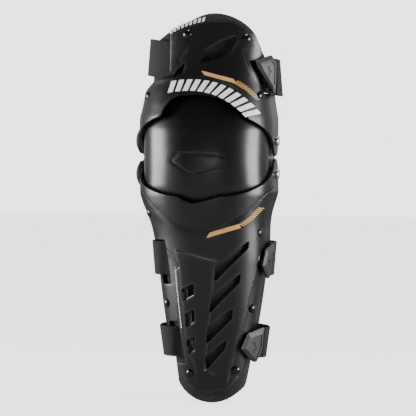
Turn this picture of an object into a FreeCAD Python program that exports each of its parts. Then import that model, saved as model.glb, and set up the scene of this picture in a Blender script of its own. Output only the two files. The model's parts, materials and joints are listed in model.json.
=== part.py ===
"""Hinged knee and shin guard for off-road riding, worn on the left leg.

Three moulded shells cover the thigh, the knee and the shin. The knee cup is the middle link: the thigh
shell turns on its upper pair of pivots and the shin shell on its lower pair. A padded liner lines each
shell, and three elastic straps go round the leg and hook on the right-hand side with moulded clips.

Frame, in millimetres: +Z up the leg, -Y to the front, +X to the wearer's left. The origin is the centre of
the knee, halfway between the upper and the lower pivot axis. The guard is drawn standing, knee straight.

Every curved piece follows a "skin": at each height its section is a U, with a superelliptic nose and
straight sides. t runs round the section: 0 at the front, 1 where the nose meets the side, then along it.
"""
import FreeCAD, Part
import math
import os

V = FreeCAD.Vector
X_AXIS = V(1, 0, 0)
Y_AXIS = V(0, 1, 0)
Z_AXIS = V(0, 0, 1)

# ---- driving dimensions -------------------------------------------------------------------------
PIVOT_Z = 20.6            # upper pivot axis above the origin, lower one as far below
ARM_OUT = 83.5            # outside of the hinge arms, from the middle plane
SHELL = 3.2               # wall of the moulded shells
EAR_OUT = 78.3            # outside of the knee cup at its hinge ears
ARM_LOBE_R = 19.0         # round end of each hinge arm
EAR_LOBE_R = 24.0

LINER = 3.0               # neoprene and mesh
PAD = 8.0                 # moulded impact foam
PAD_GAP = 0.3
KNEE_FRONT_R = 75.0       # the knee liner stays inside this radius round each pivot axis in front,
KNEE_SIDE_R = 58.0        # and inside this one above and below
KNEE_FRONT_DEG = 20.0     # where the one gives way to the other, from straight ahead
LINER_SPLIT_GAP = 1.5

POST_R = 4.0
BUSH_R = 5.5
RUNNING = 0.08            # radial clearance of the turning fits
FIT = 0.1                 # clearance of fixed pieces
POST_HEAD_R = 8.0
POST_HEAD = 1.4
SPACER_R = 9.0
SCREW_R = 2.0
SCREW_HEAD_R = 6.5
SCREW_HEAD = 3.2
HEAD_GAP = 0.8            # hinge caps and screw heads, outside the arms
CAP_R = 16.2
CAP_HEIGHT = 9.3

RIVET_HEAD_R = 5.4
RIVET_HEAD = 2.3
RIVET_R = 2.5
RIVET_WASHER_R = 5.5
RIVET_WASHER = 1.0
RIVET_WASHER_DROP = 0.8   # how far the flat washer stands off the hollow side of the shell

SEAT = 2.0                # moulded seat under the thigh clip
SEAT_GAP = 0.3

STRAP = 1.8
POCKET = 1.0              # room round the sewn end of a strap, in the liner
CLIP_BASE = 2.6           # clip: flat base, then a bevelled face
CLIP_FACE = 2.4
CLIP_LIFT = 2.0           # middle of the webbing above the shell, at the hook
HOOK_AT = 14.0            # middle of the hook peg, forward of the end of the webbing
HOOK_LENGTH = 6.0         # hook peg, along the strap
HOOK_HEIGHT = 9.0
SLOT_PLAY = 1.6           # hook slot, larger all round than the peg
WEB_LENGTH = 9.0         # strap end that is sewn to the clip
CLIP_GAP = 1.0            # between that end and the rest of the strap
CALF_CLIP = [(-7, 20.5), (19, 13.5), (27, -6.5), (7, -23), (1, -23.5), (-7, -8)]
THIGH_CLIP = [(26, 17), (2, 26), (-7, 18), (-7, -20), (-3, -20), (20, 6)]

NOSE_POWER = 2.3
SIDE_RUN = 60.0           # length of straight side per unit of t
SHOULDER = 22.0           # the nose begins this far in front of the pivot axis

# Skins: height, half width, front, sideways shift of the section.
THIGH_SKIN = [
    (-5, ARM_OUT, 82, 0), (45, ARM_OUT, 82, 0), (62, 80.5, 78.5, 0.5), (78, 78, 73, 1),
    (95, 76.5, 66.5, 2), (120, 75.5, 61.5, 3), (150, 75, 58.5, 4), (185, 75, 56, 5),
]
CUP_SKIN = [
    (-75, 62, 60, 0), (-62, 68, 66, 0), (-47, 75, 71, 0), (-32, EAR_OUT, 74, 0), (0, EAR_OUT, 76.5, 0),
    (32, EAR_OUT, 74, 0), (47, 75, 70.5, 0), (65, 66.8, 64.8, 0), (80, 60.5, 59.3, 0), (98, 53, 52, 0),
]
BAND_SKIN = [
    (5, ARM_OUT, 80, 0), (-42, ARM_OUT, 80, 0), (-54, 81, 79, 0), (-66, 77, 77.5, 0.5),
    (-84, 72.5, 74.5, 2.5), (-100, 70.5, 72, 4),
]
SHIN_SKIN = [
    (-30, ARM_OUT, 77, 0), (-42, ARM_OUT, 76.5, 0), (-54, 80.5, 75.5, 0), (-66, 76.3, 73.5, 0.5),
    (-84, 71.5, 70, 2.5), (-100, 69.5, 67.5, 4), (-130, 66.5, 64, 5.5), (-170, 62, 60.5, 5.5),
    (-210, 56.5, 56.5, 5.5), (-250, 50.5, 52, 6), (-300, 44, 47, 6.5),
]
LINER_SKIN = [
    (-310, 38.5, 40, 7), (-250, 45, 45.5, 6), (-210, 50, 50, 5.5), (-170, 55.5, 54, 5.5),
    (-130, 60, 57, 5.5), (-100, 63, 58.5, 4), (-84, 63.5, 58.5, 2.5), (-62, 64, 58, 0.5),
    (-45, 69, 65, 0), (-25, 72.4, 69.5, 0), (0, 72.4, 72, 0), (25, 72.4, 69.5, 0), (45, 69.5, 65, 0),
    (65, 62.5, 55.5, 0.5), (80, 63.5, 51, 1), (95, 69, 50, 2), (120, 69, 49.5, 3), (150, 68.5, 49, 4),
    (190, 68, 47, 5),
]

# Outlines seen from the front (x, z).
THIGH_ARCH = [(-53, 44), (-44, 63), (-36, 72), (-26, 77), (-2.5, 78.5), (19, 75.6), (40, 67), (55, 57), (61, 45)]
THIGH_TOP = [(67, 134), (64, 143), (53, 157), (37, 166), (6, 165), (-22, 159), (-40, 150)]
THIGH_LEFT = [(-40, 106), (-48, 101), (-61, 94), (-76, 80)]
THIGH_RIGHT = [(50, 132), (55, 116), (60, 103), (74, 79)]
LINER_TOP = [(-72, 100), (-64, 138), (-46, 154), (-23, 166), (10, 177.5), (40, 172), (62, 155), (74, 122)]
LINER_FOOT = (8.5, -252.0, 51.0)      # centre x, centre z and radius of the round lower end
SHIN_FOOT = [(-32, -258), (-24, -275), (-12, -288), (9, -291), (29, -286), (44, -272), (52, -252)]
BAND_NOTCH = [(-45, -20), (-45, -36), (-21, -51.5), (-10.5, -55.5), (2, -54), (40, -43.5), (40, -20)]
SEAM_Z = -87.0                        # lowest point of the band's lower edge
SEAM_RISE = 0.0075                    # the edge rises by this times x squared
RIDGE = [(-33, -112), (20, -126), (17, -136), (3, -262), (30, -272), (26, -292), (-8, -295), (-10, -255),
         (-19, -240), (-28, -134)]
RIDGE_HEIGHT = 1.8

THIGH_VENTS = [
    [(-2.5, 116), (5, 131), (23, 142), (43.5, 149.5), (43.5, 144.5), (36, 129.5), (18, 121)],
    [(-19.5, 118), (-23, 105.5), (-36.5, 96.5), (-30, 108)],
]
SEAT_OUTLINE = [(46, 153), (63, 153), (70, 135), (77, 104), (78, 70), (64, 70), (57, 84), (49, 110), (44, 135)]
SHIN_VENTS = [
    [(17.5, -134), (58.5, -101), (57, -111), (16, -153)],
    [(13, -170), (48.5, -141), (46.5, -153), (8, -193)],
    [(7, -208), (38.5, -184), (37, -198), (4.5, -230)],
    [(3, -245), (31, -223), (28, -235), (4.5, -262)],
]
SHIN_WINDOWS = [
    [(-24, -162), (-8.5, -154), (-8.5, -169.5), (-24, -177.5)],
    [(-19.5, -192), (-8.5, -186), (-8.5, -203), (-19.5, -209.5)],
    [(-18.5, -225), (-9, -219.5), (-9, -238), (-18.5, -244)],
]
STRAP_SLOTS = [
    [(-61, -101), (-46.5, -101), (-39.5, -156), (-52, -156)],
    [(-45, -202), (-30.5, -202), (-21.5, -254), (-37, -254)],
]

# Rivets: x, z and what each holds besides the shell.
THIGH_RIVETS = [(-18.5, 152, 0), (55, 146, SEAT + SEAT_GAP), (-70, 77, 0), (71, 77, SEAT + SEAT_GAP)]
SHIN_RIVETS = [(-69, -69, 0), (-47.5, -180, 0), (-17, -266, 0), (70, -92, 0), (61, -186, 0), (41, -262, 0)]

# ---- skins --------------------------------------------------------------------------------------
class Skin:
    """A family of U sections, smooth in height. Each column of the stations is a monotone cubic."""

    def __init__(self, stations):
        self.rows = sorted(stations)
        self.slopes = [self._slopes(column) for column in (1, 2, 3)]

    def _slopes(self, column):
        rows = self.rows
        secants = [(b[column] - a[column]) / (b[0] - a[0]) for a, b in zip(rows, rows[1:])]
        inner = [2 * p * q / (p + q) if p * q > 0 else 0.0 for p, q in zip(secants, secants[1:])]
        return [secants[0]] + inner + [secants[-1]]

    def values(self, z):
        """Half width, front and shift of the section at height z."""
        rows = self.rows
        z = min(max(z, rows[0][0]), rows[-1][0])
        i = max(k for k in range(len(rows) - 1) if rows[k][0] <= z)
        span = rows[i + 1][0] - rows[i][0]
        s = (z - rows[i][0]) / span
        found = []
        for column in (1, 2, 3):
            m = self.slopes[column - 1]
            found.append(
                (1 + 2 * s) * (1 - s) ** 2 * rows[i][column] + s * (1 - s) ** 2 * span * m[i]
                + s * s * (3 - 2 * s) * rows[i + 1][column] + s * s * (s - 1) * span * m[i + 1]
            )
        return found

    def point(self, t, z, off=0.0):
        half, front, shift = self.values(z)
        half += off
        nose = front + off - SHOULDER
        if abs(t) > 1:
            side = math.copysign(half, t)
            return V(shift + side, -SHOULDER + (abs(t) - 1) * SIDE_RUN, z)
        angle = t * math.pi / 2
        across = abs(math.sin(angle)) / half
        ahead = abs(math.cos(angle)) / nose
        reach = (across ** NOSE_POWER + ahead ** NOSE_POWER) ** (-1 / NOSE_POWER)
        return V(shift + reach * math.sin(angle), -SHOULDER - reach * math.cos(angle), z)

    def normal(self, t, z):
        """Outward unit normal."""
        step = 1e-3
        around = self.point(t + step, z) - self.point(t - step, z)
        up = self.point(t, z + 1) - self.point(t, z - 1)
        return around.cross(up).normalize()

    def t_at(self, x, z):
        """The t on the nose whose point has this x."""
        low, high = -1.0, 1.0
        for _ in range(40):
            middle = (low + high) / 2
            if self.point(middle, z).x < x:
                low = middle
            else:
                high = middle
        return low


THIGH = Skin(THIGH_SKIN)
CUP = Skin(CUP_SKIN)
BAND = Skin(BAND_SKIN)
SHIN = Skin(SHIN_SKIN)
LINING = Skin(LINER_SKIN)


# Straps: the route of the middle of the webbing in plan, from its sewn end on the left, round the back, to
# where it meets its clip on the right. The clip sits on the shell at (clip_t, z); tilt lowers the right side.
THIGH_STRAP = {
    "route": [(-22, -53.5), (-40, -51.5), (-60, -42.5), (-71.5, -24), (-74, 0), (-72.5, 30), (-60, 60), (-30, 78),
              (5, 82), (42, 76), (70, 54), (83, 26), (88, 2)],
    "shell": THIGH, "clip_t": 0.8, "z": 100.0, "height": 46.0, "tilt": 9.0,
    "outline": THIGH_CLIP, "hook_z": 12.5, "hook_depth": 9.5, "pocket": 0.0,
}
UPPER_CALF_STRAP = {
    "route": [(-35, -52.3), (-45.8, -47.8), (-54.6, -46.9), (-60.8, -41.5), (-65, -30), (-66.5, -12), (-66.5, 8),
              (-64, 24), (-54, 45), (-34, 60), (5, 67), (44, 61), (68, 44), (79, 20)],
    "shell": SHIN, "clip_t": 0.92, "z": -126.0, "height": 42.0, "tilt": 1.0,
    "outline": CALF_CLIP, "hook_z": -3.0, "hook_depth": 7.6, "pocket": 0.06,
}
LOWER_CALF_STRAP = {
    "route": [(-18, -46.8), (-28.5, -43.6), (-40.5, -44.8), (-49, -39), (-55.5, -26), (-58, -9), (-58, 8), (-53, 27),
              (-38, 43), (-18, 50), (6, 53), (34, 49), (55, 36), (68, 18), (72.5, 2)],
    "shell": SHIN, "clip_t": 0.79, "z": -229.0, "height": 38.0, "tilt": 1.0,
    "outline": CALF_CLIP, "hook_z": -3.0, "hook_depth": 7.6, "pocket": 0.07,
}
STRAPS = {"thigh": THIGH_STRAP, "upper_calf": UPPER_CALF_STRAP, "lower_calf": LOWER_CALF_STRAP}


def sewn_solid(grids):
    """The solid between two grids of points: a smooth face through each, and ruled faces round the sides."""
    surfaces = []
    for grid in grids:
        surface = Part.BSplineSurface()
        surface.interpolate(grid)
        surfaces.append(surface)
    faces = [surface.toShape() for surface in surfaces]
    for iso, knots in (("uIso", "getUKnots"), ("vIso", "getVKnots")):
        for end in (0, -1):
            edges = [getattr(s, iso)(getattr(s, knots)()[end]).toShape() for s in surfaces]
            faces.append(Part.makeRuledSurface(*edges))
    shell = Part.Shell(faces)
    shell.sewShape()
    solid = Part.Solid(shell)
    if solid.Volume < 0:
        solid.reverse()
    return solid


def thick_skin(skin, low, high, reach, out, inner):
    """The solid between two offsets of a skin, from t = -reach to t = reach."""
    rows = 1 + math.ceil((high - low) / 8.0)
    columns = 1 + 2 * math.ceil(reach / 0.06)
    return sewn_solid([
        [
            [skin.point(reach * (2 * c / (columns - 1) - 1), low + (high - low) * r / (rows - 1), off)
             for r in range(rows)]
            for c in range(columns)
        ]
        for off in (out, inner)
    ])


# ---- cutting tools ------------------------------------------------------------------------------
def rounded_wire(points, radius):
    """A closed wire through the points, with an arc at each corner."""
    edges = []
    count = len(points)
    starts = []
    ends = []
    for i in range(count):
        before, here, after = points[i - 1], points[i], points[(i + 1) % count]
        back = before - here
        on = after - here
        half = back.getAngle(on) / 2
        trim = min(radius / math.tan(half), 0.45 * back.Length, 0.45 * on.Length)
        a = here + V(back).normalize() * trim
        b = here + V(on).normalize() * trim
        middle_way = (V(back).normalize() + V(on).normalize()).normalize()
        r = trim * math.tan(half)
        mid = here + middle_way * (r / math.sin(half) - r)
        starts.append(a)
        ends.append(b)
        edges.append(Part.Arc(a, mid, b).toShape())
    for i in range(count):
        edges.append(Part.makeLine(ends[i], starts[(i + 1) % count]))
    return Part.Wire(Part.__sortEdges__(edges))


def front_prism(outline, radius=2.0, back=60.0):
    """A prism along Y through an outline given as (x, z)."""
    points = [V(x, -120, z) for x, z in outline]
    wire = rounded_wire(points, radius)
    return Part.Face(wire).extrude(V(0, 120 + back, 0))


def side_prism(outline, radius=3.0):
    """A prism along X, right through, from an outline given as (y, z)."""
    points = [V(-130, y, z) for y, z in outline]
    wire = rounded_wire(points, radius)
    return Part.Face(wire).extrude(V(260, 0, 0))


def pivot_cylinder(z, radius):
    return Part.makeCylinder(radius, 260, V(-130, 0, z), X_AXIS)


def disc(at, axis, radius, length):
    return Part.makeCylinder(radius, length, at, axis)


def joined(solids):
    """A group of separate solids as one shape."""
    return Part.Compound(solids)


# ---- shells -------------------------------------------------------------------------------------
def rivet_places(skin, rivets_xz):
    """For each rivet, the point on the skin, the outward normal and what it holds besides the shell."""
    found = []
    for x, z, held in rivets_xz:
        t = skin.t_at(x, z)
        found.append((skin.point(t, z), skin.normal(t, z), held))
    return found


def drill_rivets(shell, skin, places):
    for at, normal, _ in rivet_places(skin, places):
        shell = shell.cut(disc(at - normal * 12, normal, RIVET_R + FIT, 24))
    return shell


def drill_pivots(shell, z, radius):
    for side in (-1, 1):
        shell = shell.cut(disc(V(side * 60, 0, z), V(side, 0, 0), radius, 40))
    return shell


def thigh_shell():
    shell = thick_skin(THIGH, -2, 180, 1.78, 0, -SHELL)
    outline = THIGH_TOP + THIGH_LEFT + [(-95, 79), (-95, -10), (-53, -10)] + THIGH_ARCH
    outline += [(61, -10), (95, -10), (95, 79)] + THIGH_RIGHT[::-1]
    shell = shell.common(front_prism(outline, 3.0))
    profile = side_prism([(-120, 84), (-62, 44), (-15, 12), (ARM_LOBE_R, PIVOT_Z), (22, 60), (21, 78), (8, 92),
                          (-4, 200), (-120, 200)], 5.0)
    shell = shell.common(profile.fuse(pivot_cylinder(PIVOT_Z, ARM_LOBE_R)))
    for vent in THIGH_VENTS:
        shell = shell.cut(front_prism(vent, 2.0, -22))
    shell = drill_rivets(shell, THIGH, THIGH_RIVETS)
    return drill_pivots(shell, PIVOT_Z, BUSH_R + FIT)


def thigh_clip_seat():
    """Moulded plate behind the cut-out on the right, held by two of the rivets. The thigh clip hooks in it."""
    outer = SHELL + SEAT_GAP
    seat = thick_skin(THIGH, 66, 156, 0.88, -outer, -outer - SEAT)
    seat = seat.common(front_prism(SEAT_OUTLINE, 4.0))
    seat = drill_rivets(seat, THIGH, THIGH_RIVETS)
    return seat.cut(hook_slot(THIGH_STRAP))


def knee_cup():
    cup = thick_skin(CUP, -74, 97, 1.84, 0, -SHELL)
    profile = side_prism([(-120, 161), (-62, 95), (-14, 40.5), (0, 30), (0, -30), (-14, -40.5), (-68, -65),
                          (-120, -89)], 4.0)
    ears = pivot_cylinder(PIVOT_Z, EAR_LOBE_R).fuse(pivot_cylinder(-PIVOT_Z, EAR_LOBE_R))
    ears = ears.fuse(side_prism([(-EAR_LOBE_R, PIVOT_Z), (EAR_LOBE_R, PIVOT_Z), (EAR_LOBE_R, -PIVOT_Z),
                                 (-EAR_LOBE_R, -PIVOT_Z)], 0.5))
    cup = cup.common(profile.fuse(ears))
    for z in (PIVOT_Z, -PIVOT_Z):
        cup = drill_pivots(cup, z, POST_R + FIT)
    return cup


def above_seam(shift):
    """Everything above the band's lower edge, moved up by shift, as a prism along Y."""
    reach = 96
    points = [(x, SEAM_Z + SEAM_RISE * (x - 2) ** 2 + shift) for x in range(-reach, reach + 1, 16)]
    seam = smooth_edge(points, -120)
    corners = [points[-1], (reach, 15), (-reach, 15), points[0]]
    lines = [Part.makeLine(V(a[0], -120, a[1]), V(b[0], -120, b[1])) for a, b in zip(corners, corners[1:])]
    return Part.Face(Part.Wire([seam] + lines)).extrude(V(0, 180, 0))


def shin_side_profile():
    return side_prism([(-120, -70), (-77, -47), (-14, -11), (ARM_LOBE_R, -PIVOT_Z), (22, -50), (20, -100),
                       (14, -160), (5, -220), (-12, -300), (-120, -300)], 5.0)


def shin_shell():
    band = thick_skin(BAND, -99, 3, 1.78, 0, -SHELL).common(above_seam(0)).cut(front_prism(BAND_NOTCH, 3.0))
    foot = SHIN_FOOT + [(70, -215), (95, -215)]
    plate = thick_skin(SHIN, -299, -34, 1.78, 0, -SHELL).cut(above_seam(9))
    plate = plate.common(front_prism([(-95, -225), (-45, -225)] + foot + [(95, -20), (-95, -20)], 2.0))
    ridge = thick_skin(SHIN, -299, -100, 0.9, RIDGE_HEIGHT, -1.0)
    ridge = ridge.common(front_prism(RIDGE, 2.0)).common(front_prism([(-60, -225), (-45, -225)] + foot +
                                                                    [(95, -80), (-60, -80)], 2.0))
    shell = band.fuse(plate).common(shin_side_profile().fuse(pivot_cylinder(-PIVOT_Z, ARM_LOBE_R)))
    shell = shell.fuse(ridge)
    for hole in SHIN_VENTS + SHIN_WINDOWS:
        shell = shell.cut(front_prism(hole, 1.6, -10))
    for slot in STRAP_SLOTS:
        shell = shell.cut(front_prism(slot, 1.8, -10))
    shell = drill_rivets(shell, SHIN, SHIN_RIVETS)
    for strap in (UPPER_CALF_STRAP, LOWER_CALF_STRAP):
        shell = shell.cut(hook_slot(strap))
    return drill_pivots(shell, -PIVOT_Z, BUSH_R + FIT)


# ---- hinge pieces -------------------------------------------------------------------------------
def pivots(build):
    """One piece at each of the four pivots: build(side, z) for left and right, upper and lower."""
    return joined([build(side, z) for z in (PIVOT_Z, -PIVOT_Z) for side in (-1, 1)])


def pivot_post(side, z):
    """Internally threaded binding post: its head is inside the cup's ear, and its barrel is the shaft."""
    out = V(side, 0, 0)
    inside = EAR_OUT - SHELL - FIT
    head = disc(V(side * (inside - POST_HEAD), 0, z), out, POST_HEAD_R, POST_HEAD)
    barrel = disc(V(side * (inside - POST_HEAD), 0, z), out, POST_R, ARM_OUT + HEAD_GAP - FIT - inside + POST_HEAD)
    post = head.fuse(barrel)
    return post.cut(disc(V(side * (inside + 0.5), 0, z), out, SCREW_R + FIT, 20))


def spacer(side, z):
    ring = disc(V(side * (EAR_OUT + FIT), 0, z), V(side, 0, 0), SPACER_R, ARM_OUT - SHELL - EAR_OUT - 2 * FIT)
    return ring.cut(disc(V(side * 70, 0, z), V(side, 0, 0), POST_R + FIT, 20))


def bush(side, z):
    ring = disc(V(side * (ARM_OUT - SHELL), 0, z), V(side, 0, 0), BUSH_R, SHELL)
    return ring.cut(disc(V(side * 70, 0, z), V(side, 0, 0), POST_R + RUNNING, 20))


def pivot_screw(side, z):
    """Round-headed screw with a hexagon socket."""
    out = V(side, 0, 0)
    seat = V(side * (ARM_OUT + HEAD_GAP), 0, z)
    head = disc(seat, out, SCREW_HEAD_R, SCREW_HEAD)
    head = head.makeFillet(1.8, [e for e in head.Edges if abs(e.CenterOfMass.x) > ARM_OUT + SCREW_HEAD])
    shank = disc(V(side * (EAR_OUT - SHELL + 1.0), 0, z), out, SCREW_R, ARM_OUT + 2.0 - EAR_OUT + SHELL - 1.0)
    socket = Part.Face(Part.makePolygon([
        V(side * (ARM_OUT + 2.0), 2.3 * math.cos(k * math.pi / 3), z + 2.3 * math.sin(k * math.pi / 3))
        for k in range(7)
    ])).extrude(V(side * 4, 0, 0))
    return head.fuse(shank).cut(socket)


def hinge_cap(z):
    """Domed disc over the left-hand screw, hollow inside, with grip notches round its rim."""
    seat = ARM_OUT + HEAD_GAP
    dome_r = 26.0
    body = disc(V(-seat, 0, z), V(-1, 0, 0), CAP_R, CAP_HEIGHT)
    dome = Part.makeSphere(dome_r, V(-(seat + CAP_HEIGHT - dome_r), 0, z))
    cap = body.common(dome)
    cap = cap.cut(disc(V(-seat, 0, z), V(-1, 0, 0), SCREW_HEAD_R + 0.4, SCREW_HEAD + 0.4))
    notches = 18
    for k in range(notches):
        angle = 2 * math.pi * k / notches
        at = V(-seat, CAP_R * math.cos(angle), z + CAP_R * math.sin(angle))
        cap = cap.cut(disc(at, V(-1, 0, 0), 0.8, CAP_HEIGHT))
    return cap


# ---- fasteners ----------------------------------------------------------------------------------
def rivets(skin, places):
    made = []
    for at, normal, held in rivet_places(skin, places):
        dome_r = (RIVET_HEAD_R ** 2 + RIVET_HEAD ** 2) / (2 * RIVET_HEAD)
        seat = at + normal * 0.15
        dome = Part.makeSphere(dome_r, seat + normal * (RIVET_HEAD - dome_r))
        head = disc(seat, normal, RIVET_HEAD_R, RIVET_HEAD).common(dome)
        shank_end = SHELL + held + RIVET_WASHER_DROP + RIVET_WASHER
        shank = disc(at - normal * shank_end, normal, RIVET_R, shank_end + 0.5)
        made.append(head.fuse(shank))
    return joined(made)


def rivet_washers(skin, places):
    made = []
    for at, normal, held in rivet_places(skin, places):
        foot = at - normal * (SHELL + held + RIVET_WASHER_DROP + RIVET_WASHER)
        ring = disc(foot, normal, RIVET_WASHER_R, RIVET_WASHER)
        made.append(ring.cut(disc(foot - normal, normal, RIVET_R + FIT, 4)))
    return joined(made)


# ---- liner and pads -----------------------------------------------------------------------------
def smooth_edge(points, y):
    """An open smooth curve through points given as (x, z), in the plane at y."""
    curve = Part.BSplineCurve()
    curve.interpolate([V(x, y, z) for x, z in points])
    return curve.toShape()


def liner_front_outline(inset=0.0):
    """Front outline of the whole liner: a skewed arch above, straight sides and a round foot below."""
    y = -120
    grow = 1 - inset / 75.0
    top = [(x * grow, 100 + (z - 100) * (1 - inset / 78.0)) for x, z in LINER_TOP]
    x, z, radius = LINER_FOOT
    radius -= inset
    arch = smooth_edge(top, y)
    foot = Part.Arc(V(x - radius, y, z), V(x, y, z - radius), V(x + radius, y, z)).toShape()
    wide = 95
    corners = [(top[-1][0], top[-1][1]), (wide, 60), (wide, z), (x + radius, z)]
    right = [Part.makeLine(V(a[0], y, a[1]), V(b[0], y, b[1])) for a, b in zip(corners, corners[1:])]
    corners = [(x - radius, z), (-wide, z), (-wide, 60), (top[0][0], top[0][1])]
    left = [Part.makeLine(V(a[0], y, a[1]), V(b[0], y, b[1])) for a, b in zip(corners, corners[1:])]
    wire = Part.Wire(Part.__sortEdges__([arch, foot] + right + left))
    return Part.Face(wire).extrude(V(0, 190, 0))


def knee_zone(grow):
    """What stays with the knee cup: round both pivot axes, and further out in front."""
    zone = None
    slope = math.tan(math.radians(KNEE_FRONT_DEG))
    top = PIVOT_Z + max(grow, 0)
    wedge = side_prism([(0, top), (-110, top + 110 * slope), (-110, -top - 110 * slope), (0, -top)], 0.5)
    for radius, part in ((KNEE_FRONT_R + grow, wedge), (KNEE_SIDE_R + grow, None)):
        ring = pivot_cylinder(PIVOT_Z, radius).fuse(pivot_cylinder(-PIVOT_Z, radius))
        ring = ring.fuse(side_prism([(-radius, PIVOT_Z), (radius, PIVOT_Z), (radius, -PIVOT_Z),
                                     (-radius, -PIVOT_Z)], 0.5))
        if part:
            ring = ring.common(part)
        zone = ring if zone is None else zone.fuse(ring)
    return zone


def liner_layer(part, reach, out, inner, inset=0.0):
    """One layer of the thigh, knee or shin liner."""
    if part == "knee":
        layer = thick_skin(LINING, -96, 96, reach, out, inner)
        layer = layer.common(knee_zone(-inset))
        rear = side_prism([(-120, 100), (10, 100), (26, 60), (26, -60), (10, -100), (-120, -100)], 12.0)
        return layer.common(rear)
    if part == "thigh":
        layer = thick_skin(LINING, 20, 182, reach, out, inner)
        layer = layer.common(side_prism([(-120, 190), (-22, 190), (8, 146), (27, 112), (27, 20), (-120, 20)], 14.0))
    else:
        layer = thick_skin(LINING, -306, -20, reach, out, inner)
        layer = layer.common(side_prism([(-120, -20), (27, -20), (27, -210), (6, -262), (-34, -312),
                                         (-120, -312)], 14.0))
        for strap in (UPPER_CALF_STRAP, LOWER_CALF_STRAP):
            layer = layer.cut(hook_slot(strap))
            layer = layer.cut(web(strap, STRAP / 2 + POCKET, 0.0, strap["pocket"], 2 * POCKET))
    layer = layer.common(liner_front_outline(inset))
    return layer.cut(knee_zone(LINER_SPLIT_GAP + inset))


# ---- straps and clips ---------------------------------------------------------------------------
def clip_line(strap):
    """In plan: the end of the webbing, the way forward and the way out, along the tangent at the hook."""
    skin, t, z = strap["shell"], strap["clip_t"], strap["z"]
    at = skin.point(t, z)
    ahead = (skin.point(t - 0.01, z) - at).normalize()
    out = V(-ahead.y, ahead.x, 0)
    return V(at.x, at.y, 0) + out * CLIP_LIFT - ahead * HOOK_AT, ahead, out


def strap_lean(strap):
    """Outward lean of the webbing, following the taper of the shell under the clip."""
    normal = strap["shell"].normal(strap["clip_t"], strap["z"])
    return -normal.z / math.hypot(normal.x, normal.y)


def strap_curve(strap):
    """Middle of the webbing in plan, up to where it flexes when its clip is pulled out."""
    end, ahead, _ = clip_line(strap)
    stop = end - ahead * (WEB_LENGTH + CLIP_GAP)
    points = [V(x, y, 0) for x, y in strap["route"]] + [stop]
    curve = Part.BSplineCurve()
    curve.interpolate(Points=points, InitialTangent=(points[1] - points[0]).normalize(), FinalTangent=ahead)
    return curve


def webbing_frame(strap, along):
    """At a place where the strap runs along this way in plan: forward, outward and up its width."""
    slope = math.tan(math.radians(strap["tilt"]))
    out = V(-along.y, along.x, 0).normalize()
    forward = V(along.x, along.y, -slope * along.x).normalize()
    up = out * strap_lean(strap) + Z_AXIS
    across = up.cross(forward).normalize()
    return forward, across, forward.cross(across)


def web(strap, half, start, end, taller=0.0):
    """Webbing along a share of its route, half its thickness to each side of the middle."""
    curve = strap_curve(strap)
    total = curve.length()
    slope = math.tan(math.radians(strap["tilt"]))
    last = clip_line(strap)[0]
    columns = max(4, math.ceil(total * (end - start) / 6.0))
    reach = strap["height"] / 2 + taller
    sections = []
    for i in range(columns + 1):
        at = curve.parameterAtDistance(total * (start + (end - start) * i / columns), curve.FirstParameter)
        _, out, up = webbing_frame(strap, curve.tangent(at)[0])
        middle = curve.value(at)
        middle.z = strap["z"] + slope * (last.x - middle.x)
        corners = [(half, -reach), (half, reach), (-half, reach), (-half, -reach), (half, -reach)]
        sections.append(Part.makePolygon([middle + out * off + up * level for off, level in corners]))
    return Part.makeLoft(sections, True, True)


def clip_matrix(strap):
    """Clip frame: x forward along the strap, y outward, z up its width, from the end of the webbing."""
    end, ahead, _ = clip_line(strap)
    along, across, up = webbing_frame(strap, ahead)
    return FreeCAD.Matrix(
        along.x, across.x, up.x, end.x,
        along.y, across.y, up.y, end.y,
        along.z, across.z, up.z, strap["z"],
        0, 0, 0, 1,
    )


def in_clip_frame(shape, strap):
    shape.Placement = FreeCAD.Placement(clip_matrix(strap))
    return shape


def hook_box(strap, play, near, deep):
    """Block round the hook peg, from near (outward) to deep (inward)."""
    length = HOOK_LENGTH + 2 * play
    height = HOOK_HEIGHT + 2 * play
    corner = V(HOOK_AT - length / 2, -deep, strap["hook_z"] - height / 2)
    return Part.makeBox(length, near + deep, height, corner)


def hook_slot(strap):
    return in_clip_frame(hook_box(strap, SLOT_PLAY, 0.5, strap["hook_depth"] + 1.5), strap)


def strap_end(strap):
    """The last stretch of webbing, sewn to the clip."""
    high = strap["height"]
    return in_clip_frame(Part.makeBox(WEB_LENGTH, STRAP, high, V(-WEB_LENGTH, -STRAP / 2, -high / 2)), strap)


def clip(strap):
    """Shield with a bevelled face outside the webbing, and a hook peg that reaches in through the slot."""
    foot = STRAP / 2 + FIT
    points = [V(x, foot, z) for x, z in strap["outline"]]
    middle = sum(points, V()) * (1 / len(points))
    base = rounded_wire(points, 2.5)
    plate = Part.Face(base).extrude(V(0, CLIP_BASE, 0))
    lower = base.copy()
    lower.translate(V(0, CLIP_BASE, 0))
    inset = [middle + (p - middle) * 0.72 + V(0, CLIP_BASE + CLIP_FACE, 0) for p in points]
    face = Part.makeLoft([lower, rounded_wire(inset, 1.8)], True, True)
    shield = plate.fuse(face).fuse(hook_box(strap, 0, foot + 0.5, strap["hook_depth"]))
    return in_clip_frame(shield, strap)


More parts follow.
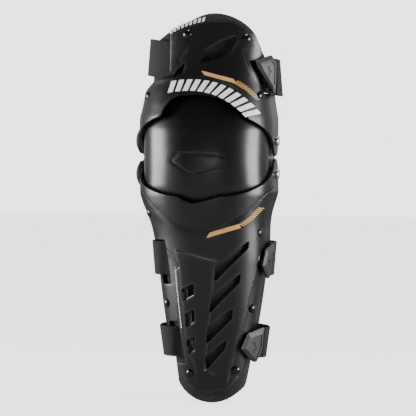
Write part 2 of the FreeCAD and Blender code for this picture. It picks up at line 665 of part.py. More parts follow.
def main():
    os.makedirs("parts", exist_ok=True)
    nodes = {
        "thigh_shell": thigh_shell(),
        "thigh_clip_seat": thigh_clip_seat(),
        "knee_cup": knee_cup(),
        "shin_shell": shin_shell(),
        "pivot_posts": pivots(pivot_post),
        "pivot_spacers": pivots(spacer),
        "pivot_screws": pivots(pivot_screw),
        "upper_pivot_bushes": joined([bush(side, PIVOT_Z) for side in (-1, 1)]),
        "lower_pivot_bushes": joined([bush(side, -PIVOT_Z) for side in (-1, 1)]),
        "upper_hinge_cap": hinge_cap(PIVOT_Z),
        "lower_hinge_cap": hinge_cap(-PIVOT_Z),
        "thigh_rivets": rivets(THIGH, THIGH_RIVETS),
        "thigh_rivet_washers": rivet_washers(THIGH, THIGH_RIVETS),
        "shin_rivets": rivets(SHIN, SHIN_RIVETS),
        "shin_rivet_washers": rivet_washers(SHIN, SHIN_RIVETS),
        "thigh_liner": liner_layer("thigh", 1.82, 0, -LINER),
        "knee_liner": liner_layer("knee", 1.82, 0, -LINER),
        "shin_liner": liner_layer("shin", 1.82, 0, -LINER),
        "thigh_pad": liner_layer("thigh", 0.8, -LINER - PAD_GAP, -LINER - PAD_GAP - PAD, 10),
        "knee_pad": liner_layer("knee", 0.9, -LINER - PAD_GAP, -LINER - PAD_GAP - PAD, 8),
        "shin_pad": liner_layer("shin", 0.85, -LINER - PAD_GAP, -LINER - PAD_GAP - PAD, 9),
    }
    for name, strap in STRAPS.items():
        nodes[name + "_strap"] = web(strap, STRAP / 2, 0.012, 1.0)
        nodes[name + "_strap_end"] = strap_end(strap)
        nodes[name + "_clip"] = clip(strap)
    for name, shape in nodes.items():
        shape.exportStep(f"parts/{name}.step")
        print(name, shape.isValid(), len(shape.Solids), round(shape.Volume))


main()
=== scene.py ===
"""Looks of the hinged knee and shin guard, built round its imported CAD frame.

Lengths are in millimetres until a point leaves a Skin, which gives metres. A place on a curved piece is (t, z):
t runs round the U-shaped section, 0 at the front, 1 where the nose meets the straight side. In patches the
first coordinate is u = t * U_SCALE, so that both coordinates are close to millimetres.
"""
import json
import math

import bmesh
import bpy
import numpy as np
from mathutils import Matrix, Vector, kdtree
from mathutils.geometry import delaunay_2d_cdt


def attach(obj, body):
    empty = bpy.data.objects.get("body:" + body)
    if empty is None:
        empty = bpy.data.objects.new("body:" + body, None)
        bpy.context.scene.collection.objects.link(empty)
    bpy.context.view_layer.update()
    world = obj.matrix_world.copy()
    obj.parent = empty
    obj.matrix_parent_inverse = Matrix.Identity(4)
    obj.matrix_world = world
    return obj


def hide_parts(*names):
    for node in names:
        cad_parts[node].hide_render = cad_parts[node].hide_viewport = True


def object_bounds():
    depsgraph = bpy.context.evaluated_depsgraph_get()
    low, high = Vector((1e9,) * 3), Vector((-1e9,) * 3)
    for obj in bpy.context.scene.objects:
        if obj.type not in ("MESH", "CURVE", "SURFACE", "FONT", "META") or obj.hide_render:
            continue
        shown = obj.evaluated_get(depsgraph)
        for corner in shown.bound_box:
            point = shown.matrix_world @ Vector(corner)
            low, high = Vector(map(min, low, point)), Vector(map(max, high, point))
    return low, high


MM = 0.001
U_SCALE = 90.0
NOSE_POWER = 2.3          # roundness of the sections' nose, 2 for an ellipse
SIDE_RUN = 60.0           # length of a straight side from t = 1 to 2
SHOULDER = 22.0           # depth in front of the knee's axis where the sides begin

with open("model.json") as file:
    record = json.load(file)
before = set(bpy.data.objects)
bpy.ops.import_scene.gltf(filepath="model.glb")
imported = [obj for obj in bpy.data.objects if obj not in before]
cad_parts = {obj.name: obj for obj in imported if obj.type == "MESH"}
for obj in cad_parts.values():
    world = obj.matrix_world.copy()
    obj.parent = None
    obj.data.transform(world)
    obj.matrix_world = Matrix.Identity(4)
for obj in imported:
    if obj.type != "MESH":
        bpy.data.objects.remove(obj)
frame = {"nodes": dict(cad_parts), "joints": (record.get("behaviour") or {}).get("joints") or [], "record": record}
cad_low, cad_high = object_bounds()
joints = {j["name"]: j for j in frame["joints"]}

PIVOT_Z = joints["upper_pivot"]["pos_m"][2] / MM
ARM_OUT = 83.5            # outside of the hinge arms
SHELL = 3.2               # thickness of the mouldings
ARM_LOBE_R = 19.0
EAR_LOBE_R = 24.0
PIVOT_HOLE_R = 5.6
EAR_OUT = 78.3            # outside of the cup at its ears
LINER = 3.0
PAD = 8.0
PAD_GAP = 0.3             # between liner and pad
KNEE_FRONT_R = 75.0       # the liner within these distances of the upper pivot moves with the cup
KNEE_SIDE_R = 58.0
KNEE_FRONT_SLOPE = math.tan(math.radians(20.0))
STRAP = 1.8
CLIP_LIFT = 2.0           # middle of the webbing above the shell, at the clip
CLIP_BASE = 2.6
CLIP_FACE = 2.4
BROW_HEIGHT = 1.0         # height of the relief on the mouldings
RIDGE_HEIGHT = 1.8
PRINT = 0.16              # top of the printed ink above the moulding
HOOK_AT = 14.0            # hook peg, ahead of the end of the webbing
HOOK_HALF_WIDTH = 4.6     # half sizes of the hook's slot
HOOK_HALF_HEIGHT = 6.0
WEB_LENGTH = 9.0          # webbing sewn into a clip
CUP_WRAP = 1.84           # how far round the cup goes, as t
CUP_LOW, CUP_HIGH = -74, 97
PLATE_TUCK = 9.0          # the shin plate under the band, in front
PLATE_GAP = 0.5           # and at the sides
LINER_SPLIT = 1.5         # gap between the liner's parts
BINDING_WIDTH = 5.0
PAD_ROUNDING = 7.0        # width of the pads' rounded rims
ROW_HEIGHT = 0.87         # of a grid of even triangles, times their side
CLEAR_OF_LINES = 0.55     # grid points keep this share of a step away from outlines

# Skins: height, half width, front, sideways shift of the section, as in the CAD.
THIGH_SKIN = [
    (-5, ARM_OUT, 82, 0), (45, ARM_OUT, 82, 0), (62, 80.5, 78.5, 0.5), (78, 78, 73, 1),
    (95, 76.5, 66.5, 2), (120, 75.5, 61.5, 3), (150, 75, 58.5, 4), (185, 75, 56, 5),
]
CUP_SKIN = [
    (-75, 62, 60, 0), (-62, 68, 66, 0), (-47, 75, 71, 0), (-32, EAR_OUT, 74, 0), (0, EAR_OUT, 76.5, 0),
    (32, EAR_OUT, 74, 0), (47, 75, 70.5, 0), (65, 66.8, 64.8, 0), (80, 60.5, 59.3, 0), (98, 53, 52, 0),
]
BAND_SKIN = [
    (5, ARM_OUT, 80, 0), (-42, ARM_OUT, 80, 0), (-54, 81, 79, 0), (-66, 77, 77.5, 0.5),
    (-84, 72.5, 74.5, 2.5), (-100, 70.5, 72, 4),
]
SHIN_SKIN = [
    (-30, ARM_OUT, 77, 0), (-42, ARM_OUT, 76.5, 0), (-54, 80.5, 75.5, 0), (-66, 76.3, 73.5, 0.5),
    (-84, 71.5, 70, 2.5), (-100, 69.5, 67.5, 4), (-130, 66.5, 64, 5.5), (-170, 62, 60.5, 5.5),
    (-210, 56.5, 56.5, 5.5), (-250, 50.5, 52, 6), (-300, 44, 47, 6.5),
]
LINER_SKIN = [
    (-310, 38.5, 40, 7), (-250, 45, 45.5, 6), (-210, 50, 50, 5.5), (-170, 55.5, 54, 5.5),
    (-130, 60, 57, 5.5), (-100, 63, 58.5, 4), (-84, 63.5, 58.5, 2.5), (-62, 64, 58, 0.5),
    (-45, 69, 65, 0), (-25, 72.4, 69.5, 0), (0, 72.4, 72, 0), (25, 72.4, 69.5, 0), (45, 69.5, 65, 0),
    (65, 62.5, 55.5, 0.5), (80, 63.5, 51, 1), (95, 69, 50, 2), (120, 69, 49.5, 3), (150, 68.5, 49, 4),
    (190, 68, 47, 5),
]

# Outlines seen from the front (x, z).
THIGH_ARCH = [(-53, 44), (-44, 63), (-36, 72), (-26, 77), (-2.5, 78.5), (19, 75.6), (40, 67), (55, 57), (61, 45)]
THIGH_TOP = [(67, 134), (64, 143), (53, 157), (37, 166), (6, 165), (-22, 159), (-40, 150)]
THIGH_LEFT = [(-40, 106), (-48, 101), (-61, 94), (-76, 80)]
THIGH_RIGHT = [(50, 132), (55, 116), (60, 103), (74, 79)]
LINER_TOP = [(-72, 100), (-64, 138), (-46, 154), (-23, 166), (10, 177.5), (40, 172), (62, 155), (74, 122)]
LINER_FOOT = (8.5, -252.0, 51.0)
SHIN_FOOT = [(-32, -258), (-24, -275), (-12, -288), (9, -291), (29, -286), (44, -272), (52, -252)]
SEAM_Z = -87.0
SEAM_RISE = 0.0075
RIDGE = [(-33, -112), (20, -126), (17, -136), (3, -262), (30, -272), (26, -292), (-8, -295), (-10, -255),
         (-19, -240), (-28, -134)]
THIGH_VENTS = [
    [(-2.5, 116), (5, 131), (23, 142), (43.5, 149.5), (43.5, 144.5), (36, 129.5), (18, 121)],
    [(-19.5, 118), (-23, 105.5), (-36.5, 96.5), (-30, 108)],
]
SHIN_VENTS = [
    [(17.5, -134), (58.5, -101), (57, -111), (16, -153)],
    [(13, -170), (48.5, -141), (46.5, -153), (8, -193)],
    [(7, -208), (38.5, -184), (37, -198), (4.5, -230)],
    [(3, -245), (31, -223), (28, -235), (4.5, -262)],
]
SHIN_WINDOWS = [
    [(-24, -162), (-8.5, -154), (-8.5, -169.5), (-24, -177.5)],
    [(-19.5, -192), (-8.5, -186), (-8.5, -203), (-19.5, -209.5)],
    [(-18.5, -225), (-9, -219.5), (-9, -238), (-18.5, -244)],
]
STRAP_SLOTS = [
    [(-61, -101), (-46.5, -101), (-39.5, -156), (-52, -156)],
    [(-45, -202), (-30.5, -202), (-21.5, -254), (-37, -254)],
]
EMBLEM_TOP = [(-36, -3.5), (-26, 6.5), (-8, 5.6), (12, 4.4), (26, 2.6), (33, 2)]
EMBLEM_LOW = [(-36, -3.5), (-33, -6.4), (-14, -18.8), (-8, -18.8), (14, -14), (33, -9.6)]
EMBLEM_FACET = [(-38.5, -4), (-29.5, 7)]
BROW = [(-70, 92), (-47, 97), (-25, 99.5), (0, 99), (25, 93), (45, 83), (62, 68), (80, 48)]
BAND_NOTCH = [(-45, -20), (-45, -36), (-21, -51.5), (-10.5, -55.5), (2, -54), (40, -43.5), (40, -20)]


class Skin:
    """A family of U sections, smooth in height, as in the CAD, for arrays of t and z."""

    def __init__(self, stations):
        rows = np.array(sorted(stations), float)
        self.z, self.v = rows[:, 0], rows[:, 1:]
        secant = np.diff(self.v, axis=0) / np.diff(self.z)[:, None]
        self.m = np.zeros_like(self.v)
        self.m[0], self.m[-1] = secant[0], secant[-1]
        p, q = secant[:-1], secant[1:]
        same = p * q > 0
        self.m[1:-1][same] = (2 * p * q)[same] / (p + q)[same]

    def values(self, z):
        z = np.clip(np.asarray(z, float), self.z[0], self.z[-1])
        i = np.clip(np.searchsorted(self.z, z, side="right") - 1, 0, len(self.z) - 2)
        h = (self.z[i + 1] - self.z[i])[..., None]
        s = (z[..., None] - self.z[i][..., None]) / h
        v = (
            (1 + 2 * s) * (1 - s) ** 2 * self.v[i] + s * (1 - s) ** 2 * h * self.m[i]
            + s * s * (3 - 2 * s) * self.v[i + 1] + s * s * (s - 1) * h * self.m[i + 1]
        )
        return v[..., 0], v[..., 1], v[..., 2]

    def point(self, t, z, off=0.0):
        """Points in metres."""
        t, z = np.broadcast_arrays(np.asarray(t, float), np.asarray(z, float))
        half, front, shift = self.values(z)
        half = half + off
        nose = front + off - SHOULDER
        angle = np.clip(t, -1, 1) * math.pi / 2
        reach = (
            np.abs(np.sin(angle) / half) ** NOSE_POWER + np.abs(np.cos(angle) / nose) ** NOSE_POWER
        ) ** (-1 / NOSE_POWER)
        x = shift + reach * np.sin(angle)
        y = -SHOULDER - reach * np.cos(angle) + np.maximum(np.abs(t) - 1, 0) * SIDE_RUN
        return np.stack([x, y, z], -1) * MM

    def t_of_x(self, x, z):
        half, front, shift = self.values(z)
        x = np.asarray(x, float) - shift
        across = np.abs(x) / half
        ahead = (front - SHOULDER) * np.maximum(1 - np.minimum(across, 1) ** NOSE_POWER, 0) ** (1 / NOSE_POWER)
        t = np.arctan2(np.abs(x), ahead) * 2 / math.pi
        return np.sign(x) * np.where(across < 1, t, 1 + (np.abs(x) - half) / 15.0)

    def t_of_y(self, y, z):
        """t on the right side at this depth."""
        half, front, _ = self.values(z)
        ahead = -SHOULDER - np.asarray(y, float)
        nose = front - SHOULDER
        across = half * np.maximum(1 - np.clip(ahead / nose, 0, 1) ** NOSE_POWER, 0) ** (1 / NOSE_POWER)
        t = np.arctan2(across, np.maximum(ahead, 0)) * 2 / math.pi
        return np.where(ahead < 0, 1 - ahead / SIDE_RUN, t)

    def front(self, outline):
        """An outline seen from the front, as (u, z)."""
        outline = np.asarray(outline, float)
        return np.stack([self.t_of_x(outline[:, 0], outline[:, 1]) * U_SCALE, outline[:, 1]], -1)

    def side(self, outline):
        """An outline seen from the side, as (u, z) on the left and on the right."""
        outline = np.asarray(outline, float)
        u = self.t_of_y(outline[:, 0], outline[:, 1]) * U_SCALE
        return [np.stack([s * u, outline[:, 1]], -1)[::s] for s in (1, -1)]


THIGH, CUP, BAND, SHIN, LINING = (Skin(s) for s in (THIGH_SKIN, CUP_SKIN, BAND_SKIN, SHIN_SKIN, LINER_SKIN))


# ---- outlines -----------------------------------------------------------------------------------
def rounded(points, radius=2.0, step=1.6, closed=True):
    """The outline through the points, its corners rounded, with points about every step."""
    p = np.asarray(points, float)
    count = len(p)
    path = []
    for i in range(count):
        here = p[i]
        if not closed and i in (0, count - 1):
            path.append(here)
            continue
        back, on = p[i - 1] - here, p[(i + 1) % count] - here
        lb, lo = np.linalg.norm(back), np.linalg.norm(on)
        back, on = back / lb, on / lo
        half = math.acos(max(-1, min(1, float(back @ on)))) / 2
        trim = min(radius / max(math.tan(half), 1e-6), 0.45 * lb, 0.45 * lo)
        a, b = here + back * trim, here + on * trim
        for s in np.linspace(0, 1, 6):
            path.append((1 - s) ** 2 * a + 2 * s * (1 - s) * here + s * s * b)
    path = np.array(path + ([path[0]] if closed else []))
    dense = [path[0]]
    for a, b in zip(path, path[1:]):
        n = max(1, math.ceil(np.linalg.norm(b - a) / step))
        dense += [a + (b - a) * k / n for k in range(1, n + 1)]
    return np.array(dense[:-1] if closed else dense)


def smooth_curve(points, step=2.0):
    """A smooth curve through the points (Catmull-Rom with centripetal spacing)."""
    p = np.asarray(points, float)
    p = np.vstack([2 * p[0] - p[1], p, 2 * p[-1] - p[-2]])
    out = []
    for p0, p1, p2, p3 in zip(p, p[1:], p[2:], p[3:]):
        t1 = np.linalg.norm(p1 - p0) ** 0.5
        t2 = t1 + np.linalg.norm(p2 - p1) ** 0.5
        t3 = t2 + np.linalg.norm(p3 - p2) ** 0.5
        for t in np.linspace(t1, t2, max(2, math.ceil(np.linalg.norm(p2 - p1) / step)), endpoint=False):
            a1 = (t1 - t) / t1 * p0 + t / t1 * p1
            a2 = (t2 - t) / (t2 - t1) * p1 + (t - t1) / (t2 - t1) * p2
            a3 = (t3 - t) / (t3 - t2) * p2 + (t - t2) / (t3 - t2) * p3
            b1 = (t2 - t) / t2 * a1 + t / t2 * a2
            b2 = (t3 - t) / (t3 - t1) * a2 + (t - t1) / (t3 - t1) * a3
            out.append((t2 - t) / (t2 - t1) * b1 + (t - t1) / (t2 - t1) * b2)
    return np.array(out + [p[-2]])


def circle(y, z, radius, count=40):
    a = np.arange(count) * 2 * math.pi / count
    return np.stack([y + radius * np.cos(a), z + radius * np.sin(a)], -1)


def inside(points, polygon):
    """Which points are inside the polygon."""
    x, y = points[:, 0], points[:, 1]
    result = np.zeros(len(points), bool)
    for a, b in zip(polygon, np.roll(polygon, -1, axis=0)):
        if a[1] == b[1]:
            continue
        crosses = (a[1] > y) != (b[1] > y)
        result ^= crosses & (x < (b[0] - a[0]) * (y - a[1]) / (b[1] - a[1]) + a[0])
    return result


def line_distance(points, line, closed=False):
    """Distance from each point to a polyline."""
    best = np.full(len(points), 1e9)
    ends = np.roll(line, -1, axis=0) if closed else line[1:]
    for a, b in zip(line, ends):
        d = b - a
        length = float(d @ d)
        s = np.clip(((points - a) @ d) / max(length, 1e-12), 0, 1)
        best = np.minimum(best, np.linalg.norm(points - (a + s[:, None] * d), axis=1))
    return best


def signed_area(p):
    return 0.5 * np.sum(p[:, 0] * np.roll(p[:, 1], -1) - np.roll(p[:, 0], -1) * p[:, 1])


def grow(polygon, amount):
    """The polygon moved outward by the amount, negative to shrink it."""
    p = np.asarray(polygon, float)
    along = np.roll(p, -1, axis=0) - np.roll(p, 1, axis=0)
    along /= np.maximum(np.linalg.norm(along, axis=1, keepdims=True), 1e-9)
    out = np.stack([along[:, 1], -along[:, 0]], -1) * (1 if signed_area(p) > 0 else -1)
    return p + out * amount


# ---- meshes -------------------------------------------------------------------------------------
def link_object(name, data):
    obj = bpy.data.objects.new(name, data)
    bpy.context.scene.collection.objects.link(obj)
    return obj


def mesh_object(name, verts, faces, uv=None):
    mesh = bpy.data.meshes.new(name)
    mesh.from_pydata([tuple(v) for v in verts], [], [tuple(f) for f in faces])
    if uv is not None:
        layer = mesh.uv_layers.new(name="UVMap")
        index = np.zeros(len(mesh.loops), np.int32)
        mesh.loops.foreach_get("vertex_index", index)
        layer.data.foreach_set("uv", np.asarray(uv, np.float32)[index].ravel())
    mesh.update()
    return link_object(name, mesh)


def from_bmesh(name, bm):
    mesh = bpy.data.meshes.new(name)
    bm.to_mesh(mesh)
    bm.free()
    return link_object(name, mesh)


def finish_mesh(obj, angle=38):
    """Apply the modifiers, then shade smooth with sharp edges above the angle, in degrees."""
    if obj.modifiers:
        bpy.context.view_layer.update()
        graph = bpy.context.evaluated_depsgraph_get()
        mesh = bpy.data.meshes.new_from_object(obj.evaluated_get(graph))
        obj.modifiers.clear()
        obj.data = mesh
    obj.data.shade_smooth()
    obj.data.set_sharp_from_angle(angle=math.radians(angle))
    return obj


def covered(points, keep, holes):
    """Which points are inside an outline of every group in keep, and in no hole."""
    result = np.ones(len(points), bool)
    for group in keep:
        result &= np.any([inside(points, p) for p in group], axis=0)
    for hole in holes:
        result &= ~inside(points, hole)
    return result


def point_tree(points):
    tree = kdtree.KDTree(len(points))
    for i, p in enumerate(points):
        tree.insert((p[0], p[1], 0), i)
    tree.balance()
    return tree


def patch(name, skin, keep, holes=(), lines=(), step=2.4, relief=None, thick=SHELL, bevel=0.8):
    """A moulded sheet over part of a skin.

    keep is a list of groups of outlines: the sheet lies inside at least one outline of every group. lines are
    extra outlines that the mesh follows, for steps and creases. relief gives the height above the skin.
    """
    outlines = [p for group in keep for p in group] + list(holes)
    every = np.vstack(outlines)
    low, high = every.min(0), every.max(0)
    columns = np.arange(low[0], high[0], step)
    rows = np.arange(low[1], high[1], step * ROW_HEIGHT)
    grid = np.array([(c + (step / 2 if r % 2 else 0), z) for r, z in enumerate(rows) for c in columns])
    grid = grid[covered(grid, keep, holes)]
    tree = point_tree(np.vstack([every] + list(lines)))
    grid = [p for p in grid if tree.find((p[0], p[1], 0))[2] > CLEAR_OF_LINES * step]
    coords, edges = [], []
    for line, closed in [(p, True) for p in outlines] + [(p, False) for p in lines]:
        first, count = len(coords), len(line)
        coords += [Vector(q) for q in line]
        edges += [(first + i, first + (i + 1) % count) for i in range(count if closed else count - 1)]
    coords += [Vector(q) for q in grid]
    found, _, tris, _, _, _ = delaunay_2d_cdt(coords, edges, [], 0, 1e-3)
    tris = np.array([tri for tri in tris if len(tri) == 3])
    middles = np.array([v[:] for v in found])[tris].mean(1)
    kept = tris[covered(middles, keep, holes)].tolist()
    used = sorted({v for tri in kept for v in tri})
    number = {v: i for i, v in enumerate(used)}
    flat = np.array([found[v] for v in used])
    off = relief(flat) if relief else np.zeros(len(flat))
    points = skin.point(flat[:, 0] / U_SCALE, flat[:, 1], off)
    obj = mesh_object(name, points, [[number[v] for v in tri] for tri in kept], flat * 0.01)
    if thick:
        solid = obj.modifiers.new("thickness", "SOLIDIFY")
        solid.thickness = thick * MM
        solid.offset = -1
    if bevel:
        round_off = obj.modifiers.new("edges", "BEVEL")
        round_off.width = bevel * MM
        round_off.segments = 3
        round_off.limit_method = "ANGLE"
        round_off.angle_limit = math.radians(50)
    return obj, flat


def sweep(name, points, section, ups):
    """A section (across, up) swept along points in metres. ups gives the section's second direction."""
    p, up, section = (np.asarray(v, float) for v in (points, ups, section))
    along = np.roll(p, -1, axis=0) - np.roll(p, 1, axis=0)
    along[0], along[-1] = p[1] - p[0], p[-1] - p[-2]
    along /= np.linalg.norm(along, axis=1, keepdims=True)
    up = up - along * np.sum(up * along, axis=1, keepdims=True)
    up /= np.linalg.norm(up, axis=1, keepdims=True)
    across = np.cross(up, along)
    m, n = len(p), len(section)
    verts = p[:, None] + across[:, None] * section[None, :, :1] + up[:, None] * section[None, :, 1:]
    length, around = (np.concatenate([[0], np.cumsum(np.linalg.norm(np.diff(v, axis=0), axis=1))])
                      for v in (p, section))
    uv = np.stack([np.repeat(length, n), np.tile(around, m)], -1) * 10.0
    faces = [(i * n + k, i * n + (k + 1) % n, (i + 1) * n + (k + 1) % n, (i + 1) * n + k)
             for i in range(m - 1) for k in range(n)]
    faces += [tuple(range(n))[::-1], tuple((m - 1) * n + k for k in range(n))]
    return mesh_object(name, verts.reshape(-1, 3), faces, uv)


# ---- materials ----------------------------------------------------------------------------------
def feed(tree, made, **inputs):
    """Set or link a node's inputs, or set its properties. In an input's name _ stands for a space."""
    for key, value in inputs.items():
        name = key.replace("_", " ")
        if isinstance(value, bpy.types.NodeSocket):
            tree.links.new(value, made.inputs[name])
        elif name in made.inputs:
            made.inputs[name].default_value = value
        else:
            setattr(made, key, value)
    return made


def node(tree, kind, **settings):
    return feed(tree, tree.nodes.new("ShaderNode" + kind), **settings)


def principled(name, colour, roughness, **inputs):
    material = bpy.data.materials.new(name)
    material.use_nodes = True
    tree = material.node_tree
    shader = feed(tree, tree.nodes["Principled BSDF"], Base_Color=(*colour, 1), Roughness=roughness, **inputs)
    return material, tree, shader


def noise(tree, scale, detail=3.0):
    place = node(tree, "TexCoord").outputs["Object"]
    return node(tree, "TexNoise", Scale=scale, Detail=detail, Vector=place).outputs["Fac"]


def ramp(tree, factor, stops):
    """A colour or grey ramp: stops are (position, value or colour)."""
    made = node(tree, "ValToRGB", Fac=factor)
    elements = made.color_ramp.elements
    while len(elements) < len(stops):
        elements.new(0.5)
    for element, (at, value) in zip(elements, stops):
        element.position = at
        element.color = (*value, 1) if isinstance(value, tuple) else (value, value, value, 1)
    return made.outputs["Color"]


def add_bump(tree, shader, height, strength, distance):
    bump = node(tree, "Bump", Strength=strength, Distance=distance, Height=height)
    feed(tree, shader, Normal=bump.outputs["Normal"])


def tint(colour, factor):
    return tuple(c * factor for c in colour)


def moulded_plastic(name, colour, roughness, grain=0.25, coat=0.0):
    """Moulded plastic: spark-eroded grain, faint flow marks in the gloss, and a painted highlight: edges painted
    paler.
    """
    material, tree, shader = principled(name, colour, roughness, Coat_Weight=coat, Coat_Roughness=0.2)
    cloudy = ramp(tree, noise(tree, 14.0, 4.0), [(0.3, roughness - 0.035), (0.7, roughness + 0.045)])
    # Painted highlight: where pointiness marks a bevelled edge, the base colour is painted paler.
    edges = node(tree, "NewGeometry").outputs["Pointiness"]
    painted_edge_highlight = ramp(tree, edges, [(0.545, colour), (0.64, tuple(c + 0.009 for c in colour))])
    feed(tree, shader, Roughness=cloudy, Base_Color=painted_edge_highlight)
    add_bump(tree, shader, noise(tree, 2600.0, 2.0), grain, 0.00006)
    return material


def rubber(name, colour, roughness=0.62):
    """Rubber or dull plastic, slightly patchy."""
    material, tree, shader = principled(name, colour, roughness)
    patchy = ramp(tree, noise(tree, 30.0, 5.0), [(0.3, tint(colour, 0.85)), (0.75, tint(colour, 1.25))])
    feed(tree, shader, Base_Color=patchy)
    add_bump(tree, shader, noise(tree, 1800.0, 3.0), 0.35, 0.00008)
    return material


def woven(name, colour, across, along, depth=0.00018, sheen=0.25):
    """Cloth with ribs along both surface directions, this many per metre, in UV units of 100 mm."""
    material, tree, shader = principled(name, colour, 0.85, Sheen_Weight=sheen, Sheen_Roughness=0.5)
    place = node(tree, "TexCoord").outputs["UV"]
    both, fuzz = (node(tree, "Math", operation=kind) for kind in ("MULTIPLY", "ADD"))
    for i, (direction, count) in enumerate((("X", along), ("Y", across))):
        wave = node(tree, "TexWave", bands_direction=direction, Scale=count * 0.05 / math.pi * 2, Distortion=0.35,
                    Detail_Scale=2.0, Vector=place)
        tree.links.new(wave.outputs["Fac"], both.inputs[i])
    tree.links.new(both.outputs[0], fuzz.inputs[0])
    tree.links.new(noise(tree, 900.0, 4.0), fuzz.inputs[1])
    feed(tree, shader, Base_Color=ramp(tree, both.outputs[0], [(0.1, tint(colour, 0.55)), (0.8, colour)]))
    add_bump(tree, shader, fuzz.outputs[0], 0.8, depth)
    return material


def perforated(name, colour, pitch):
    """Spacer mesh: rows of dark holes at this pitch, in millimetres."""
    material, tree, shader = principled(name, colour, 0.6, Sheen_Weight=0.05)
    place = node(tree, "TexCoord").outputs["UV"]
    cells = node(tree, "TexVoronoi", Scale=100.0 / pitch, Randomness=0.0, Vector=place).outputs["Distance"]
    feed(tree, shader, Base_Color=ramp(tree, cells, [(0.28, (0.001, 0.001, 0.001)), (0.40, colour)]))
    add_bump(tree, shader, ramp(tree, cells, [(0.28, 0.0), (0.40, 1.0)]), 0.9, 0.0006)
    return material


def ink(name, colour):
    """Pad-printed ink, slightly worn."""
    material, tree, shader = principled(name, colour, 0.42)
    feed(tree, shader, Base_Color=ramp(tree, noise(tree, 160.0, 6.0), [(0.25, tint(colour, 0.78)), (0.5, colour)]))
    add_bump(tree, shader, noise(tree, 2200.0, 2.0), 0.2, 0.00005)
    return material


def metal(name, colour, roughness):
    material, tree, shader = principled(name, colour, roughness, Metallic=1.0)
    dull = ramp(tree, noise(tree, 400.0, 4.0), [(0.3, roughness * 0.7), (0.7, roughness * 1.4)])
    feed(tree, shader, Roughness=dull)
    return material


MATERIALS = {
    "shell_plastic": moulded_plastic("shell_plastic", (0.0035, 0.0035, 0.0038), 0.34),
    "cup_plastic": moulded_plastic("cup_plastic", (0.003, 0.003, 0.0033), 0.31, grain=0.12, coat=0.1),
    "clip_rubber": rubber("clip_rubber", (0.022, 0.022, 0.0235), 0.5),
    "cap_plastic": rubber("cap_plastic", (0.008, 0.008, 0.0085), 0.45),
    "dark_steel": moulded_plastic("dark_steel", (0.003, 0.003, 0.003), 0.18, grain=0.02),
    "bright_steel": metal("bright_steel", (0.62, 0.62, 0.63), 0.22),
    "nylon": rubber("nylon", (0.02, 0.02, 0.02), 0.4),
    "liner_fabric": woven("liner_fabric", (0.005, 0.005, 0.005), 900, 900, 0.00012, sheen=0.05),
    "pad_foam": woven("pad_foam", (0.011, 0.0105, 0.0105), 500, 500, 0.0002, sheen=0.1),
    "strap_webbing": woven("strap_webbing", (0.0075, 0.0068, 0.0065), 420, 900, 0.0003, sheen=0.03),
}
BINDING = woven("binding_tape", (0.013, 0.0105, 0.0095), 700, 700, 0.00012, sheen=0.08)
THREAD = rubber("thread", (0.03, 0.028, 0.027), 0.7)
AIR_MESH = perforated("air_mesh", (0.016, 0.016, 0.016), 2.6)
WHITE_INK = ink("white_ink", (0.82, 0.83, 0.84))
GOLD_INK = ink("gold_ink", (0.58, 0.33, 0.11))
# Painted light: a grey lighter than the shell, painted on the shin windows' ramps as their lit side.
PAINTED_LIT_RAMP_GREY = rubber("window_painted_lit_grey", (0.035, 0.035, 0.037), 0.5)
# Painted highlight: pale grey painted along the shin windows' lower edges.
PAINTED_EDGE_HIGHLIGHT_GREY = rubber("window_painted_edge_highlight", (0.55, 0.55, 0.56), 0.35)


def paint(obj, material):
    """Give a piece its material."""
    obj.data.materials.clear()
    obj.data.materials.append(material)
    return obj


def fit(obj, cad_node, slot, body, angle=38):
    """Finish a piece that stands for a CAD node, and put it on its body."""
    finish_mesh(obj, angle)
    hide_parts(cad_node)
    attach(paint(obj, MATERIALS[slot]), body)


for subpart in frame["record"]["subparts"]:
    finish_mesh(paint(frame["nodes"][subpart["node"]], MATERIALS[subpart["material_slot"]]), 30)


CALF_CLIP = [(-7, 20.5), (19, 13.5), (27, -6.5), (7, -23), (1, -23.5), (-7, -8)]
THIGH_STRAP = {
    "route": [(-22, -53.5), (-40, -51.5), (-60, -42.5), (-71.5, -24), (-74, 0), (-72.5, 30), (-60, 60), (-30, 78),
              (5, 82), (42, 76), (70, 54), (83, 26), (88, 2)],
    "shell": THIGH, "clip_t": 0.8, "z": 100.0, "height": 46.0, "tilt": 9.0, "hook_z": 12.5, "hook_depth": 9.5,
    "outline": [(26, 17), (2, 26), (-7, 18), (-7, -20), (-3, -20), (20, 6)],
}
UPPER_CALF_STRAP = {
    "route": [(-35, -52.3), (-45.8, -47.8), (-54.6, -46.9), (-60.8, -41.5), (-65, -30), (-66.5, -12), (-66.5, 8),
              (-64, 24), (-54, 45), (-34, 60), (5, 67), (44, 61), (68, 44), (79, 20)],
    "shell": SHIN, "clip_t": 0.92, "z": -126.0, "height": 42.0, "tilt": 1.0, "hook_z": -3.0, "hook_depth": 7.6,
    "outline": CALF_CLIP,
}
LOWER_CALF_STRAP = {
    "route": [(-18, -46.8), (-28.5, -43.6), (-40.5, -44.8), (-49, -39), (-55.5, -26), (-58, -9), (-58, 8), (-53, 27),
              (-38, 43), (-18, 50), (6, 53), (34, 49), (55, 36), (68, 18), (72.5, 2)],
    "shell": SHIN, "clip_t": 0.79, "z": -229.0, "height": 38.0, "tilt": 1.0, "hook_z": -3.0, "hook_depth": 7.6,
    "outline": CALF_CLIP,
}


